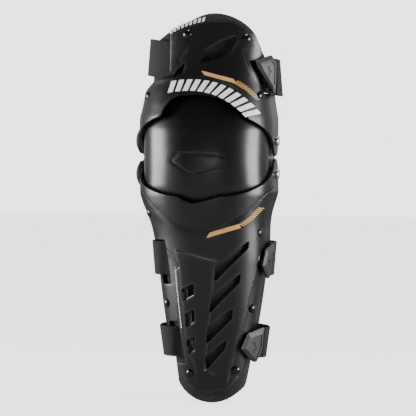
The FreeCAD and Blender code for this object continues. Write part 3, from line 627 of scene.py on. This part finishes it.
# ---- shells -------------------------------------------------------------------------------------
def hook_hole(strap):
    """Outline of the hook slot on the strap's shell."""
    skin, t, z = strap["shell"], strap["clip_t"], strap["z"] + strap["hook_z"]
    per_t = np.linalg.norm(skin.point(t + 0.005, z) - skin.point(t - 0.005, z)) / 0.01 / MM
    wide, high = HOOK_HALF_WIDTH / per_t * U_SCALE, HOOK_HALF_HEIGHT
    return rounded(np.array([(-wide, -high), (wide, -high), (wide, high), (-wide, high)]) + (t * U_SCALE, z), 1.0)


def pivot_holes(z, skin):
    return skin.side(circle(0, z, PIVOT_HOLE_R))


def box(wide, low, high):
    """A rectangle with points along its sides."""
    return rounded([(-wide, low), (wide, low), (wide, high), (-wide, high)], 0.01, 2.0)


def build_thigh_shell():
    outline = THIGH_TOP + THIGH_LEFT + [(-95, 79), (-95, -10), (-53, -10)] + THIGH_ARCH
    outline += [(61, -10), (95, -10), (95, 79)] + THIGH_RIGHT[::-1]
    profile = [(-120, 84), (-62, 44), (-15, 12), (ARM_LOBE_R, PIVOT_Z), (22, 60), (21, 78), (8, 92), (-4, 200),
               (-120, 200)]
    front = [THIGH.front(rounded(outline, 3.0))]
    side = THIGH.side(rounded(profile, 5.0)) + THIGH.side(circle(0, PIVOT_Z, ARM_LOBE_R))
    holes = [THIGH.front(rounded(v, 2.5)) for v in THIGH_VENTS] + pivot_holes(PIVOT_Z, THIGH)
    holes.append(hook_hole(THIGH_STRAP))
    brow = THIGH.front(smooth_curve(BROW))
    crease = THIGH.front(smooth_curve([(-17, 152), (-16, 140), (-21, 128), (-28, 118)]))
    lines = [brow, brow + (0, 2.2), crease, crease + (1.1, 0), crease - (1.1, 0)]

    def relief(flat):
        """A brow over the knee opening, fading out at the sides, and a pressed crease at the top."""
        above = flat[:, 1] - np.interp(flat[:, 0], brow[:, 0], brow[:, 1])
        fade = np.clip((62 - np.abs(flat[:, 0] + 2)) / 14.0, 0, 1)
        lip = np.clip(1 - above / 2.2, 0, 1) * fade
        pressed = np.clip(1 - line_distance(flat, crease) / 1.1, 0, 1)
        return BROW_HEIGHT * lip - 0.8 * pressed

    shell, _ = patch("thigh_shell_moulding", THIGH, [front, side], holes, lines, relief=relief)
    fit(shell, "thigh_shell", "shell_plastic", "thigh")


def build_knee_cup():
    profile = [(-120, 161), (-62, 95), (-14, 40.5), (0, 30), (0, -30), (-14, -40.5), (-68, -65), (-120, -89)]
    side = CUP.side(rounded(profile, 4.0))
    for z in (PIVOT_Z, -PIVOT_Z):
        side += CUP.side(circle(0, z, EAR_LOBE_R))
    side += CUP.side(box(EAR_LOBE_R, PIVOT_Z, -PIVOT_Z))
    whole = [box(CUP_WRAP * U_SCALE, CUP_LOW, CUP_HIGH)]
    top, low, facet = (CUP.front(rounded(line, 2.0, 1.4, closed=False))
                       for line in (EMBLEM_TOP, EMBLEM_LOW, EMBLEM_FACET))
    lines = [line + (0, shift) for line in (top, low) for shift in (-0.75, 0, 0.75)] + [facet]
    body = np.vstack([top, low[::-1]])

    def relief(flat):
        """An engraved outline round a slightly sunken field, fading out towards the right."""
        fade = np.clip((40 - flat[:, 0]) / 34.0, 0, 1)
        cut = np.minimum(line_distance(flat, top), line_distance(flat, low))
        engraved = 0.95 * np.clip(1 - cut / 0.85, 0, 1)
        sunk = np.where(inside(flat, body), 0.3 * np.clip(cut / 0.8, 0, 1), 0)
        return -fade * np.maximum(engraved, sunk) - 0.4 * np.clip(1 - line_distance(flat, facet) / 0.7, 0, 1)

    cup, _ = patch("knee_cup_moulding", CUP, [side, whole], [], lines, relief=relief)
    fit(cup, "knee_cup", "cup_plastic", "knee", 50)


def seam(tuck=0.0, gap=0.0):
    """The band's lower edge. The plate under it is tucked up in front, and meets it with a gap at the sides."""
    x = np.arange(-96, 97, 4.0)
    return np.stack([x, SEAM_Z + SEAM_RISE * (x - 2) ** 2 + tuck * np.clip((72 - np.abs(x)) / 16, 0, 1) - gap], -1)


def shin_profile():
    return rounded([(-120, -70), (-77, -47), (-14, -11), (ARM_LOBE_R, -PIVOT_Z), (22, -50), (20, -100), (14, -160),
                    (5, -220), (-12, -300), (-120, -300)], 5.0)


def build_shin_band():
    edge = np.vstack([[(96, 14), (-96, 14)], seam()])
    side = BAND.side(shin_profile()) + BAND.side(circle(0, -PIVOT_Z, ARM_LOBE_R))
    holes = pivot_holes(-PIVOT_Z, BAND) + [BAND.front(rounded(BAND_NOTCH, 3.0))]
    band, _ = patch("shin_band_moulding", BAND, [[BAND.front(edge)], side], holes, bevel=1.1)
    fit(band, "shin_shell", "shell_plastic", "shin")


def build_shin_plate():
    low = rounded([(-95, -225), (-45, -225)] + SHIN_FOOT + [(70, -215), (95, -215), (96, -20), (-96, -20)], 2.0)
    top = np.vstack([[(96, -310), (-96, -310)], seam(PLATE_TUCK, PLATE_GAP)])
    ridge = SHIN.front(rounded(RIDGE, 2.0))
    crest = grow(ridge, -1.6)
    left_panel = SHIN.front(rounded([(-46.6, -111), (-28, -132.5), (-30, -134), (-33.5, -138), (-31, -200),
                                     (-28, -240)], 2.0, closed=False))
    right_panel = SHIN.front(rounded([(69, -121), (65, -139), (63, -148), (56, -174), (54, -190), (42, -229),
                                      (35.5, -253), (28, -282)], 2.0, closed=False))
    holes = [SHIN.front(rounded(v, 2.0)) for v in SHIN_VENTS + SHIN_WINDOWS]
    holes += [SHIN.front(rounded(v, 2.2)) for v in STRAP_SLOTS]
    holes += [hook_hole(s) for s in (UPPER_CALF_STRAP, LOWER_CALF_STRAP)]
    valley = SHIN.front(seam())
    lines = [np.vstack([p, p[:1]]) for p in (ridge, crest)]
    for line in (left_panel, right_panel):
        lines += [line, line + (0.8, 0), line - (0.8, 0)]

    def relief(flat):
        """A ridge, a step down to the side panels, and a hollow under the band's edge."""
        raised = RIDGE_HEIGHT * inside(flat, ridge) * np.clip(line_distance(flat, ridge, True) / 1.5, 0, 1)
        raised *= np.clip((flat[:, 1] + 276) / 22.0, 0, 1)
        below = np.interp(flat[:, 0], valley[:, 0], valley[:, 1]) - flat[:, 1]
        sunk = 2.6 * np.clip(1 - np.maximum(below, 0) / 15.0, 0, 1) ** 1.5
        sunk *= np.clip(1 - (flat[:, 0] / 75) ** 2, 0, 1)
        groove = np.zeros(len(flat))
        for line in (left_panel, right_panel):
            groove = np.maximum(groove, np.clip(1 - line_distance(flat, line) / 0.8, 0, 1))
        right, right_weight = line_side(flat, right_panel)
        left, left_weight = line_side(flat, left_panel)
        outer = 1.3 * np.clip(right / 2.0, 0, 1) * right_weight + 0.8 * np.clip(-left / 2.0, 0, 1) * left_weight
        return raised - 0.7 * groove - outer - sunk

    plate, _ = patch("shin_plate_moulding", SHIN, [[SHIN.front(low)], [SHIN.front(top)], SHIN.side(shin_profile())],
                     holes, lines, step=2.2, relief=relief)
    fit(plate, "shin_shell", "shell_plastic", "shin")


def line_side(flat, line):
    """Distance to the right of a line that runs downwards, and a weight that fades out at the line's ends."""
    order = np.argsort(line[:, 1])
    at = np.interp(flat[:, 1], line[order, 1], line[order, 0])
    weight = np.clip((line[:, 1].max() - flat[:, 1]) / 12.0, 0, 1)
    weight *= np.clip((flat[:, 1] - line[:, 1].min()) / 12.0, 0, 1)
    return flat[:, 0] - at, weight


build_thigh_shell()
build_knee_cup()
build_shin_band()
build_shin_plate()


# ---- liners and pads ----------------------------------------------------------------------------
def knee_zone_top(more):
    """Upper edge of the liner that stays with the knee cup, as (u, z) from left to right, moved out by more."""
    u = np.linspace(-1.9, 1.9, 191) * U_SCALE
    z = np.arange(0, 115, 0.25)
    y = LINING.point(u[:, None] / U_SCALE, z[None, :])[..., 1] / MM
    r = np.hypot(y, np.maximum(z - PIVOT_Z, 0))
    ahead = z < PIVOT_Z + max(more, 0) - y * KNEE_FRONT_SLOPE
    within = (r < KNEE_SIDE_R + more) | (ahead & (y < 0) & (r < KNEE_FRONT_R + more))
    first_out = np.where(within.all(1), len(z) - 1, np.argmin(within, axis=1))
    return np.stack([u, z[first_out]], -1)


def liner_front(inset=0.0):
    """Front outline of the whole liner, as (x, z)."""
    wide = 1 - inset / 75.0
    top = [(x * wide, 100 + (z - 100) * (1 - inset / 78.0)) for x, z in LINER_TOP]
    x, z, radius = LINER_FOOT
    radius -= inset
    foot = [(x + radius * math.cos(a), z - radius * math.sin(a)) for a in np.linspace(0, math.pi, 40)]
    right = dense_run([top[-1], (95, 60), (95, z), foot[0]])
    left = dense_run([foot[-1], (-95, z), (-95, 60), top[0]])
    return np.vstack([smooth_curve(top)[:-1], right[:-1], foot[:-1], left[:-1]])


def dense_run(points, step=3.0):
    out = []
    for a, b in zip(points, points[1:]):
        n = max(1, math.ceil(math.dist(a, b) / step))
        out += [(a[0] + (b[0] - a[0]) * k / n, a[1] + (b[1] - a[1]) * k / n) for k in range(n)]
    return out + [points[-1]]


def liner_outlines(part, inset=0.0):
    """The keep groups for one layer of a liner part."""
    wide = 1.82 * U_SCALE if inset == 0 else {"thigh": 0.8, "knee": 0.9, "shin": 0.85}[part] * U_SCALE
    if part == "knee":
        top = knee_zone_top(-inset)
        zone = np.vstack([top, (top * (1, -1))[::-1]])
        rear = LINING.side(rounded([(-120, 100), (10, 100), (26, 60), (26, -60), (10, -100), (-120, -100)], 12.0))
        return [[zone], rear, [box(wide, -96, 96)]]
    top = knee_zone_top(LINER_SPLIT + inset)
    if part == "thigh":
        zone = np.vstack([top, [(200, 185), (-200, 185)]])
        rear = [(-120, 190), (-22, 190), (8, 146), (27, 112), (27, 20), (-120, 20)]
        low, high = 20, 182
    else:
        zone = np.vstack([top * (1, -1), [(200, -309), (-200, -309)]])
        rear = [(-120, -20), (27, -20), (27, -210), (6, -262), (-34, -312), (-120, -312)]
        low, high = -306, -20
    return [[zone], LINING.side(rounded(rear, 14.0)), [box(wide, low, high)], [LINING.front(liner_front(inset))]]


def open_edge(obj):
    """Vertex numbers on the open edges of a mesh."""
    count = {}
    for polygon in obj.data.polygons:
        for key in polygon.edge_keys:
            count[key] = count.get(key, 0) + 1
    return sorted({v for key, n in count.items() if n == 1 for v in key})


def edge_distance(flat, edge):
    """Distance from each flat point to the nearest edge vertex."""
    tree = point_tree(flat[edge])
    return np.array([tree.find((*p, 0))[2] for p in flat])


def build_liner(part, vents):
    """Bound neoprene with mesh behind the vents."""
    obj, flat = patch(part + "_liner_laminate", LINING, liner_outlines(part), step=2.6, thick=LINER - 0.1, bevel=0)
    edge = edge_distance(flat, open_edge(obj))
    soft = -0.7 * np.clip(1 - edge / 2.5, 0, 1) ** 2 + 0.25 * np.clip(1 - np.abs(edge - 3.2) / 3.0, 0, 1)
    points = LINING.point(flat[:, 0] / U_SCALE, flat[:, 1], soft - 0.3)
    obj.data.vertices.foreach_set("co", points.astype(np.float32).ravel())
    obj.data.update()
    paint(obj, MATERIALS["liner_fabric"])
    obj.data.materials.append(BINDING)
    obj.data.materials.append(AIR_MESH)
    grown = [grow(LINING.front(v), 5.0) for v in vents]
    for polygon in obj.data.polygons:
        corners = list(polygon.vertices)
        middle = flat[corners].mean(0)
        if edge[corners].mean() < BINDING_WIDTH:
            polygon.material_index = 1
        elif any(inside(middle[None], v)[0] for v in grown):
            polygon.material_index = 2
    finish_mesh(obj, 60)
    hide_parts(part + "_liner")
    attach(obj, part)


def build_pad(part, inset, channels):
    """Impact foam under a fabric cover: crowned, with rounded sides and sewn channels."""
    obj, flat = patch(part + "_pad_cover", LINING, liner_outlines(part, inset), step=2.4, thick=0, bevel=0)
    rim = set(open_edge(obj))
    edge = edge_distance(flat, sorted(rim))
    half = PAD / 2
    swell = np.sqrt(np.clip(1 - (1 - np.clip(edge / PAD_ROUNDING, 0, 1)) ** 2, 0, 1))
    sewn = np.zeros(len(flat))
    for line in channels:
        sewn = np.maximum(sewn, np.exp(-(line_distance(flat, line) / 1.9) ** 2))
    crown = 0.86 + 0.14 * np.clip(edge / 22.0, 0, 1)
    middle = -LINER - PAD_GAP - half
    outer = middle + half * swell * (1 - 0.12 * sewn)
    inner = middle - half * swell * crown * (1 - 0.75 * sewn)
    n = len(flat)
    number = [i if i in rim else n + i for i in range(n)]
    verts = np.vstack([LINING.point(flat[:, 0] / U_SCALE, flat[:, 1], outer),
                       LINING.point(flat[:, 0] / U_SCALE, flat[:, 1], inner)])
    faces = [tuple(p.vertices) for p in obj.data.polygons]
    faces += [tuple(number[v] for v in reversed(f)) for f in faces]
    bpy.data.objects.remove(obj)
    cushion = mesh_object(part + "_pad_cushion", verts, faces, np.vstack([flat, flat]) * 0.01)
    bm = bmesh.new()
    bm.from_mesh(cushion.data)
    bmesh.ops.delete(bm, geom=[v for v in bm.verts if not v.link_faces], context="VERTS")
    bmesh.ops.recalc_face_normals(bm, faces=bm.faces)
    bm.to_mesh(cushion.data)
    bm.free()
    smooth = cushion.modifiers.new("soften", "SMOOTH")
    smooth.factor, smooth.iterations = 0.35, 2
    fit(cushion, part + "_pad", "pad_foam", part, 180)


def chevrons(low, high, pitch, wide, drop):
    """Sewn channels across a pad, each a wide V."""
    return [np.array(dense_run([(-wide, z + drop), (0, z), (wide, z + drop)])) for z in np.arange(low, high, pitch)]


build_liner("thigh", THIGH_VENTS)
build_liner("knee", [])
build_liner("shin", SHIN_VENTS + SHIN_WINDOWS)
build_pad("thigh", 10, chevrons(60, 170, 22, 75, 9))
build_pad("knee", 8, chevrons(-70, 80, 24, 85, 0) + [np.array(dense_run([(s, -90), (s, 90)])) for s in (-30, 30)])
build_pad("shin", 9, chevrons(-300, -60, 26, 80, 10))


# ---- straps and clips ---------------------------------------------------------------------------
def clip_frame(strap):
    """The end of the webbing in plan, in millimetres, and the direction it points in."""
    skin, t, z = strap["shell"], strap["clip_t"], strap["z"]
    at = skin.point(t, z) / MM
    ahead = skin.point(t - 0.01, z) / MM - at
    ahead /= np.linalg.norm(ahead)
    out = np.array([-ahead[1], ahead[0], 0])
    return (at[0], at[1], 0) + out * CLIP_LIFT - ahead * HOOK_AT, ahead


def strap_lean(strap):
    """How far the shell under the clip leans out, for each unit upward."""
    skin, t, z = strap["shell"], strap["clip_t"], strap["z"]
    across = skin.point(t + 0.01, z) - skin.point(t - 0.01, z)
    up = skin.point(t, z + 0.5) - skin.point(t, z - 0.5)
    normal = np.cross(across, up)
    normal *= np.sign(normal[0])
    return -normal[2] / math.hypot(normal[0], normal[1])


def webbing_axes(strap, along):
    """Forward, outward and up the webbing's width, for directions along its plan."""
    slope = math.tan(math.radians(strap["tilt"]))
    along = np.atleast_2d(along)
    flat_out = np.stack([-along[:, 1], along[:, 0], np.zeros(len(along))], -1)
    forward = np.stack([along[:, 0], along[:, 1], -slope * along[:, 0]], -1)
    forward /= np.linalg.norm(forward, axis=1, keepdims=True)
    up = flat_out * strap_lean(strap) + (0, 0, 1)
    across = np.cross(up, forward)
    across /= np.linalg.norm(across, axis=1, keepdims=True)
    return forward, across, np.cross(forward, across)


def plan_spline(points, first, last, step=2.5):
    """A twice-smooth curve through plan points with the given end directions."""
    p = np.asarray(points, float)
    h = np.linalg.norm(np.diff(p, axis=0), axis=1)
    n = len(p)
    system, right = np.zeros((n, n)), np.zeros((n, 2))
    system[0, 0] = system[-1, -1] = 1
    right[0], right[-1] = first, last
    for i in range(1, n - 1):
        a, b = h[i - 1], h[i]
        system[i, i - 1], system[i, i], system[i, i + 1] = b, 2 * (a + b), a
        right[i] = 3 * (b / a * (p[i] - p[i - 1]) + a / b * (p[i + 1] - p[i]))
    d = np.linalg.solve(system, right)
    out = []
    for i in range(n - 1):
        for s in np.arange(0, 1, step / h[i]):
            out.append((1 + 2 * s) * (1 - s) ** 2 * p[i] + s * (1 - s) ** 2 * h[i] * d[i]
                       + s * s * (3 - 2 * s) * p[i + 1] + s * s * (s - 1) * h[i] * d[i + 1])
    return np.array(out + [p[-1]])


def webbing_section(height, thick):
    """Flat elastic with rounded, slightly fuller edges."""
    h, t = height / 2, thick / 2
    side = [(h - 0.9, t), (h - 0.25, t * 0.7), (h, 0), (h - 0.25, -t * 0.7), (h - 0.9, -t)]
    outer = [(x, t) for x in np.linspace(-h + 2.2, h - 2.2, 9)]
    loop = outer + side + [(x, -t) for x, _ in outer[::-1]] + [(-x, -z) for x, z in side]
    return np.array(loop) * MM


def stitches(name, run, normals, ups, heights, body):
    """Rows of short thread stitches along a run of webbing, at these heights across it, in millimetres."""
    verts, faces = [], []
    for height in heights:
        for i in range(1, len(run) - 2, 2):
            shift = (ups[i] * height + normals[i] * (STRAP / 2 - 0.02)) * MM
            a, b = run[i] + shift, run[i] * 0.35 + run[i + 1] * 0.65 + shift
            for end, rise in ((a, 0.0), (a * 0.5 + b * 0.5, 0.22), (b, 0.0)):
                middle = end + normals[i] * rise * MM
                for du, dn in ((-0.28, -0.1), (0.28, -0.1), (0.2, 0.18), (-0.2, 0.18)):
                    verts.append(middle + ups[i] * du * MM + normals[i] * dn * MM)
            n = len(verts) - 12
            for k in (0, 4):
                for j in range(4):
                    faces.append((n + k + j, n + k + (j + 1) % 4, n + k + 4 + (j + 1) % 4, n + k + 4 + j))
            faces += [(n + 3, n + 2, n + 1, n), (n + 8, n + 9, n + 10, n + 11)]
    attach(paint(finish_mesh(mesh_object(name, verts, faces), 180), THREAD), body)


def build_strap(name, strap, body, clip_body):
    """The webbing round the leg and the end sewn to the clip. Gives the clip's place."""
    end, ahead = clip_frame(strap)
    stop = end - ahead * (WEB_LENGTH + 1.0)
    points = np.vstack([strap["route"], stop[:2]])
    first = points[1] - points[0]
    plan = plan_spline(points, first / np.linalg.norm(first), ahead[:2])[2:]
    along = np.gradient(plan, axis=0)
    along /= np.linalg.norm(along, axis=1, keepdims=True)
    slope = math.tan(math.radians(strap["tilt"]))
    z = strap["z"] + slope * (end[0] - plan[:, 0])
    _, across, ups = webbing_axes(strap, np.hstack([along, np.zeros((len(along), 1))]))
    run = np.hstack([plan, z[:, None]]) * MM
    section = webbing_section(strap["height"], STRAP)
    band = sweep(name + "_strap_webbing", run, section, ups=across)
    fit(band, name + "_strap", "strap_webbing", body, 60)
    stitch_at = strap["height"] / 2 - 2.6
    stitches(name + "_strap_stitching", run, across, ups, (stitch_at, -stitch_at), body)
    forward, out, up = (v[0] for v in webbing_axes(strap, ahead))
    place = Matrix([(*row, e * MM) for row, e in zip(np.stack([forward, out, up], 1), (end[0], end[1], strap["z"]))]
                   + [(0, 0, 0, 1)])
    tab = np.array([(end[0], end[1], strap["z"]) + forward * s for s in np.linspace(-WEB_LENGTH, 0, 5)]) * MM
    tip = sweep(name + "_strap_end_webbing", tab, section, ups=np.tile(out, (5, 1)))
    fit(tip, name + "_strap_end", "strap_webbing", clip_body, 60)
    return place


def build_clip(name, strap, body, place):
    """A rubber shield: flat rim, bevelled faces and a recess that holds a plain raised chevron."""
    foot = STRAP / 2 + 0.1
    base = rounded(strap["outline"], 2.5, 1.6)
    middle = np.asarray(strap["outline"], float).mean(0)
    bm = bmesh.new()

    def ring(outline, y):
        return [bm.verts.new((p[0], y, p[1])) for p in outline]

    def solid(rings):
        for low, high in zip(rings, rings[1:]):
            for i in range(len(low)):
                k = (i + 1) % len(low)
                bm.faces.new((low[i], low[k], high[k], high[i]))
        bm.faces.new(rings[0][::-1])
        bm.faces.new(rings[-1])

    top = foot + CLIP_BASE + CLIP_FACE
    levels = [(0.97, foot), (1.0, foot + 0.5), (1.0, foot + CLIP_BASE - 0.3), (0.975, foot + CLIP_BASE),
              (0.76, top - 0.25), (0.72, top), (0.64, top), (0.60, top - 1.1)]
    solid([ring(middle + (base - middle) * scale, y) for scale, y in levels])

    def block(outline, y0, y1, inset):
        centre = np.mean(outline, axis=0)
        shape = rounded(outline, 0.8, 1.5)
        solid([ring(shape, y0), ring(centre + (shape - centre) * inset, y1)])

    w = (base.max(0) - base.min(0)) * 0.5
    for sign in (-1, 1):
        mark = [(-0.26, 0.02 * sign), (0.02, 0.34 * sign), (0.26, 0.28 * sign), (0.0, 0.02 * sign)]
        block([middle + (a * w[0], b * w[1]) for a, b in mark], top - 1.3, top - 0.1, 0.8)
    hook_z, deep = strap["hook_z"], strap["hook_depth"]
    peg = [(HOOK_AT + a, hook_z + b) for a, b in ((-3, -4.5), (3, -4.5), (3, 4.5), (-3, 4.5))]
    block(peg, -deep, foot + 0.4, 1.0)
    bmesh.ops.recalc_face_normals(bm, faces=bm.faces)
    shield = from_bmesh(name + "_shield", bm)
    shield.data.transform(place @ Matrix.Scale(MM, 4))
    fit(shield, name, "clip_rubber", body, 24)


for name, strap, body in (("thigh", THIGH_STRAP, "thigh"), ("upper_calf", UPPER_CALF_STRAP, "shin"),
                          ("lower_calf", LOWER_CALF_STRAP, "shin")):
    build_clip(name + "_clip", strap, name + "_clip", build_strap(name, strap, body, name + "_clip"))


# ---- printing, and painted light on the shin windows --------------------------------------------
def ink_and_painted_light_shape(name, skin, outlines, material, body, height=0.0, radius=0.5):
    """Flat shapes, a thin skin on the moulding, joined as one piece: printed ink, and painted light on the shin
    windows. height is the relief under it.
    """
    pieces = []
    for outline in outlines:
        shape = skin.front(rounded(outline, radius, 1.2))
        made, _ = patch(name, skin, [[shape]], step=2.0, relief=lambda flat: np.full(len(flat), height + PRINT),
                        thick=0.1, bevel=0)
        pieces.append(finish_mesh(made, 40))
    bm = bmesh.new()
    for made in pieces:
        bm.from_mesh(made.data)
    for made in pieces:
        bpy.data.objects.remove(made)
    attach(paint(from_bmesh(name, bm), material), body)


def bars(line, count, start, stop, wide, high, slant):
    """Slanted bars along a line, as front outlines. high holds the first and the last bar's height."""
    line = np.asarray(line, float)
    run = np.concatenate([[0], np.cumsum(np.linalg.norm(np.diff(line, axis=0), axis=1))])
    out = []
    for share in np.linspace(0, 1, count):
        at = (start + (stop - start) * share) * run[-1]
        before, middle, after = (np.array([np.interp(at + step, run, line[:, i]) for i in (0, 1)])
                                 for step in (-1, 0, 1))
        ahead = (after - before) / np.linalg.norm(after - before)
        up = np.array([-ahead[1], ahead[0]])
        tall = (high[0] + (high[1] - high[0]) * share) / 2
        out.append([middle + ahead * (s * wide / 2 + e * slant * tall) + up * e * tall
                    for s, e in ((-1, -1), (1, -1), (1, 1), (-1, 1))])
    return out


def build_printing():
    """Stripes and rows of bars. Every word and mark in the photograph is replaced by plain bars."""
    brow = smooth_curve([(-42, 86.5), (-20, 89), (0, 88.5), (20, 84), (40, 74), (56, 61), (66, 49)])
    ink_and_painted_light_shape("brow_print", THIGH, bars(brow, 12, 0.06, 0.94, 6.5, (13.5, 16.0), 0.42), WHITE_INK, "thigh",
                BROW_HEIGHT)
    ink_and_painted_light_shape("thigh_stripe", THIGH, [[(0.3, 107), (40, 96.6), (43, 91), (4.4, 101.5)]], GOLD_INK, "thigh")
    ticks = bars([(41.5, 93.8), (56, 85), (70, 71.5)], 14, 0.05, 0.98, 1.2, (5.8, 4.6), 0.75)
    ink_and_painted_light_shape("thigh_stripe_ticks", THIGH, ticks, GOLD_INK, "thigh", radius=0.2)
    ink_and_painted_light_shape("shin_stripe", SHIN, [[(7, -98), (49, -85.5), (47, -80.6), (12, -91)]], GOLD_INK, "shin")
    ticks = bars([(48.5, -82.8), (61, -74), (72, -61)], 12, 0.06, 0.97, 1.4, (5.2, 5.6), -0.6)
    ink_and_painted_light_shape("shin_stripe_ticks", SHIN, ticks, GOLD_INK, "shin", radius=0.2)
    painted_lit_steps, edges = [], []
    for a, _, c, d in np.array(SHIN_WINDOWS):
        # Painted light: a lighter grey on each window's ramp, standing for its lit side.
        painted_lit_steps.append([a + (-1.5, 1), a + (5.5, 3.5), d + (5.5, 3.2), d + (-1.5, -1)])
        # Painted highlight: a pale strip along each window's lower edge.
        edges.append([c + (-0.3, 1.9), c + (-0.3, 0.5), d + (5.7, 3.3), d + (5.7, 4.5)])
    ink_and_painted_light_shape("shin_window_painted_lit_steps", SHIN, painted_lit_steps, PAINTED_LIT_RAMP_GREY, "shin", -2.2)
    ink_and_painted_light_shape("shin_window_painted_edge_highlights", SHIN, edges, PAINTED_EDGE_HIGHLIGHT_GREY, "shin", 0.4, 0.3)
    strip = bars([(-33.2, -138), (-30.5, -172), (-26.6, -209)], 26, 0.0, 1.0, 1.9, (1.3, 1.3), 0.0)
    ink_and_painted_light_shape("shin_fine_print", SHIN, strip, WHITE_INK, "shin", radius=0.2)
    rim = smooth_curve([(-43, 154.5), (-30, 161), (-12, 167), (3, 170.5)])
    ink_and_painted_light_shape("liner_print", LINING, bars(rim, 9, 0.05, 0.95, 3.6, (5.2, 5.2), 0.5), WHITE_INK, "thigh")


build_printing()


# ---- floor, light and camera --------------------------------------------------------------------
CAMERA_AZIMUTH = 10.0
CAMERA_ELEVATION = 2.0
CAMERA_DISTANCE = 3.2
FIELD = 0.52


def area_light(name, at, size, power, target=(0, 0, -0.06)):
    data = bpy.data.lights.new(name, "AREA")
    data.shape = "RECTANGLE"
    data.size, data.size_y = size
    data.energy = power
    lamp = link_object(name, data)
    lamp.location = at
    lamp.rotation_euler = (Vector(target) - Vector(at)).to_track_quat("-Z", "Y").to_euler()
    lamp.visible_camera = False


def seen_by_camera(tree, lit, seen):
    """One shader for the light that falls on the object, and a brighter one that only the camera sees."""
    mix = node(tree, "MixShader", Fac=node(tree, "LightPath").outputs["Is Camera Ray"])
    tree.links.new(lit, mix.inputs[1])
    tree.links.new(seen, mix.inputs[2])
    return mix.outputs[0]


def build_stage():
    """A pale floor, a studio that is dark in front, four soft lights and the camera."""
    floor = mesh_object("floor", [(-6, -6, 0), (6, -6, 0), (6, 6, 0), (-6, 6, 0)], [(0, 1, 2, 3)])
    floor.location.z = cad_low.z - 0.0005
    material, tree, shader = principled("floor_pale", (0.3, 0.3, 0.3), 0.9, Specular_IOR_Level=0.0)
    mottled = ramp(tree, noise(tree, 6.0, 2.0), [(0.3, (0.29, 0.29, 0.29)), (0.7, (0.31, 0.31, 0.31))])
    feed(tree, shader, Base_Color=mottled)
    glow = node(tree, "Emission", Strength=2.4)
    both = node(tree, "AddShader")
    tree.links.new(shader.outputs[0], both.inputs[0])
    tree.links.new(glow.outputs[0], both.inputs[1])
    output = seen_by_camera(tree, shader.outputs[0], both.outputs[0])
    feed(tree, tree.nodes["Material Output"], Surface=output)
    paint(floor, material)

    world = bpy.data.worlds.new("studio")
    bpy.context.scene.world = world
    world.use_nodes = True
    tree = world.node_tree
    split = node(tree, "SeparateXYZ", Vector=node(tree, "TexCoord").outputs["Generated"])
    around = feed(tree, tree.nodes["Background"],
                  Color=ramp(tree, split.outputs["Y"], [(0.0, (0.02, 0.02, 0.021)), (0.5, (0.7, 0.7, 0.7))]))
    backdrop = node(tree, "Background", Color=(1, 1, 1, 1), Strength=3.0)
    output = seen_by_camera(tree, around.outputs[0], backdrop.outputs[0])
    feed(tree, tree.nodes["World Output"], Surface=output)

    area_light("left_box", (-1.35, -0.46, 0.06), (0.8, 0.72), 40)
    area_light("right_box", (1.37, -0.4, 0.06), (0.8, 0.72), 38)
    area_light("front_low", (0.0, -2.4, -0.15), (0.5, 0.12), 2.2, (0, 0, 0.02))
    area_light("top_box", (0.2, -0.2, 1.6), (0.9, 0.5), 16)

    camera = link_object("camera", bpy.data.cameras.new("camera"))
    bpy.context.scene.camera = camera
    target = Vector((-0.0025, 0, -0.0635))
    az, el = math.radians(CAMERA_AZIMUTH), math.radians(CAMERA_ELEVATION)
    away = Vector((math.sin(az) * math.cos(el), -math.cos(az) * math.cos(el), math.sin(el)))
    camera.location = target + away * CAMERA_DISTANCE
    camera.rotation_euler = (-away).to_track_quat("-Z", "Y").to_euler()
    camera.data.sensor_width = 36
    camera.data.lens = 36 * CAMERA_DISTANCE / FIELD
    camera.data.clip_end = 50


build_stage()
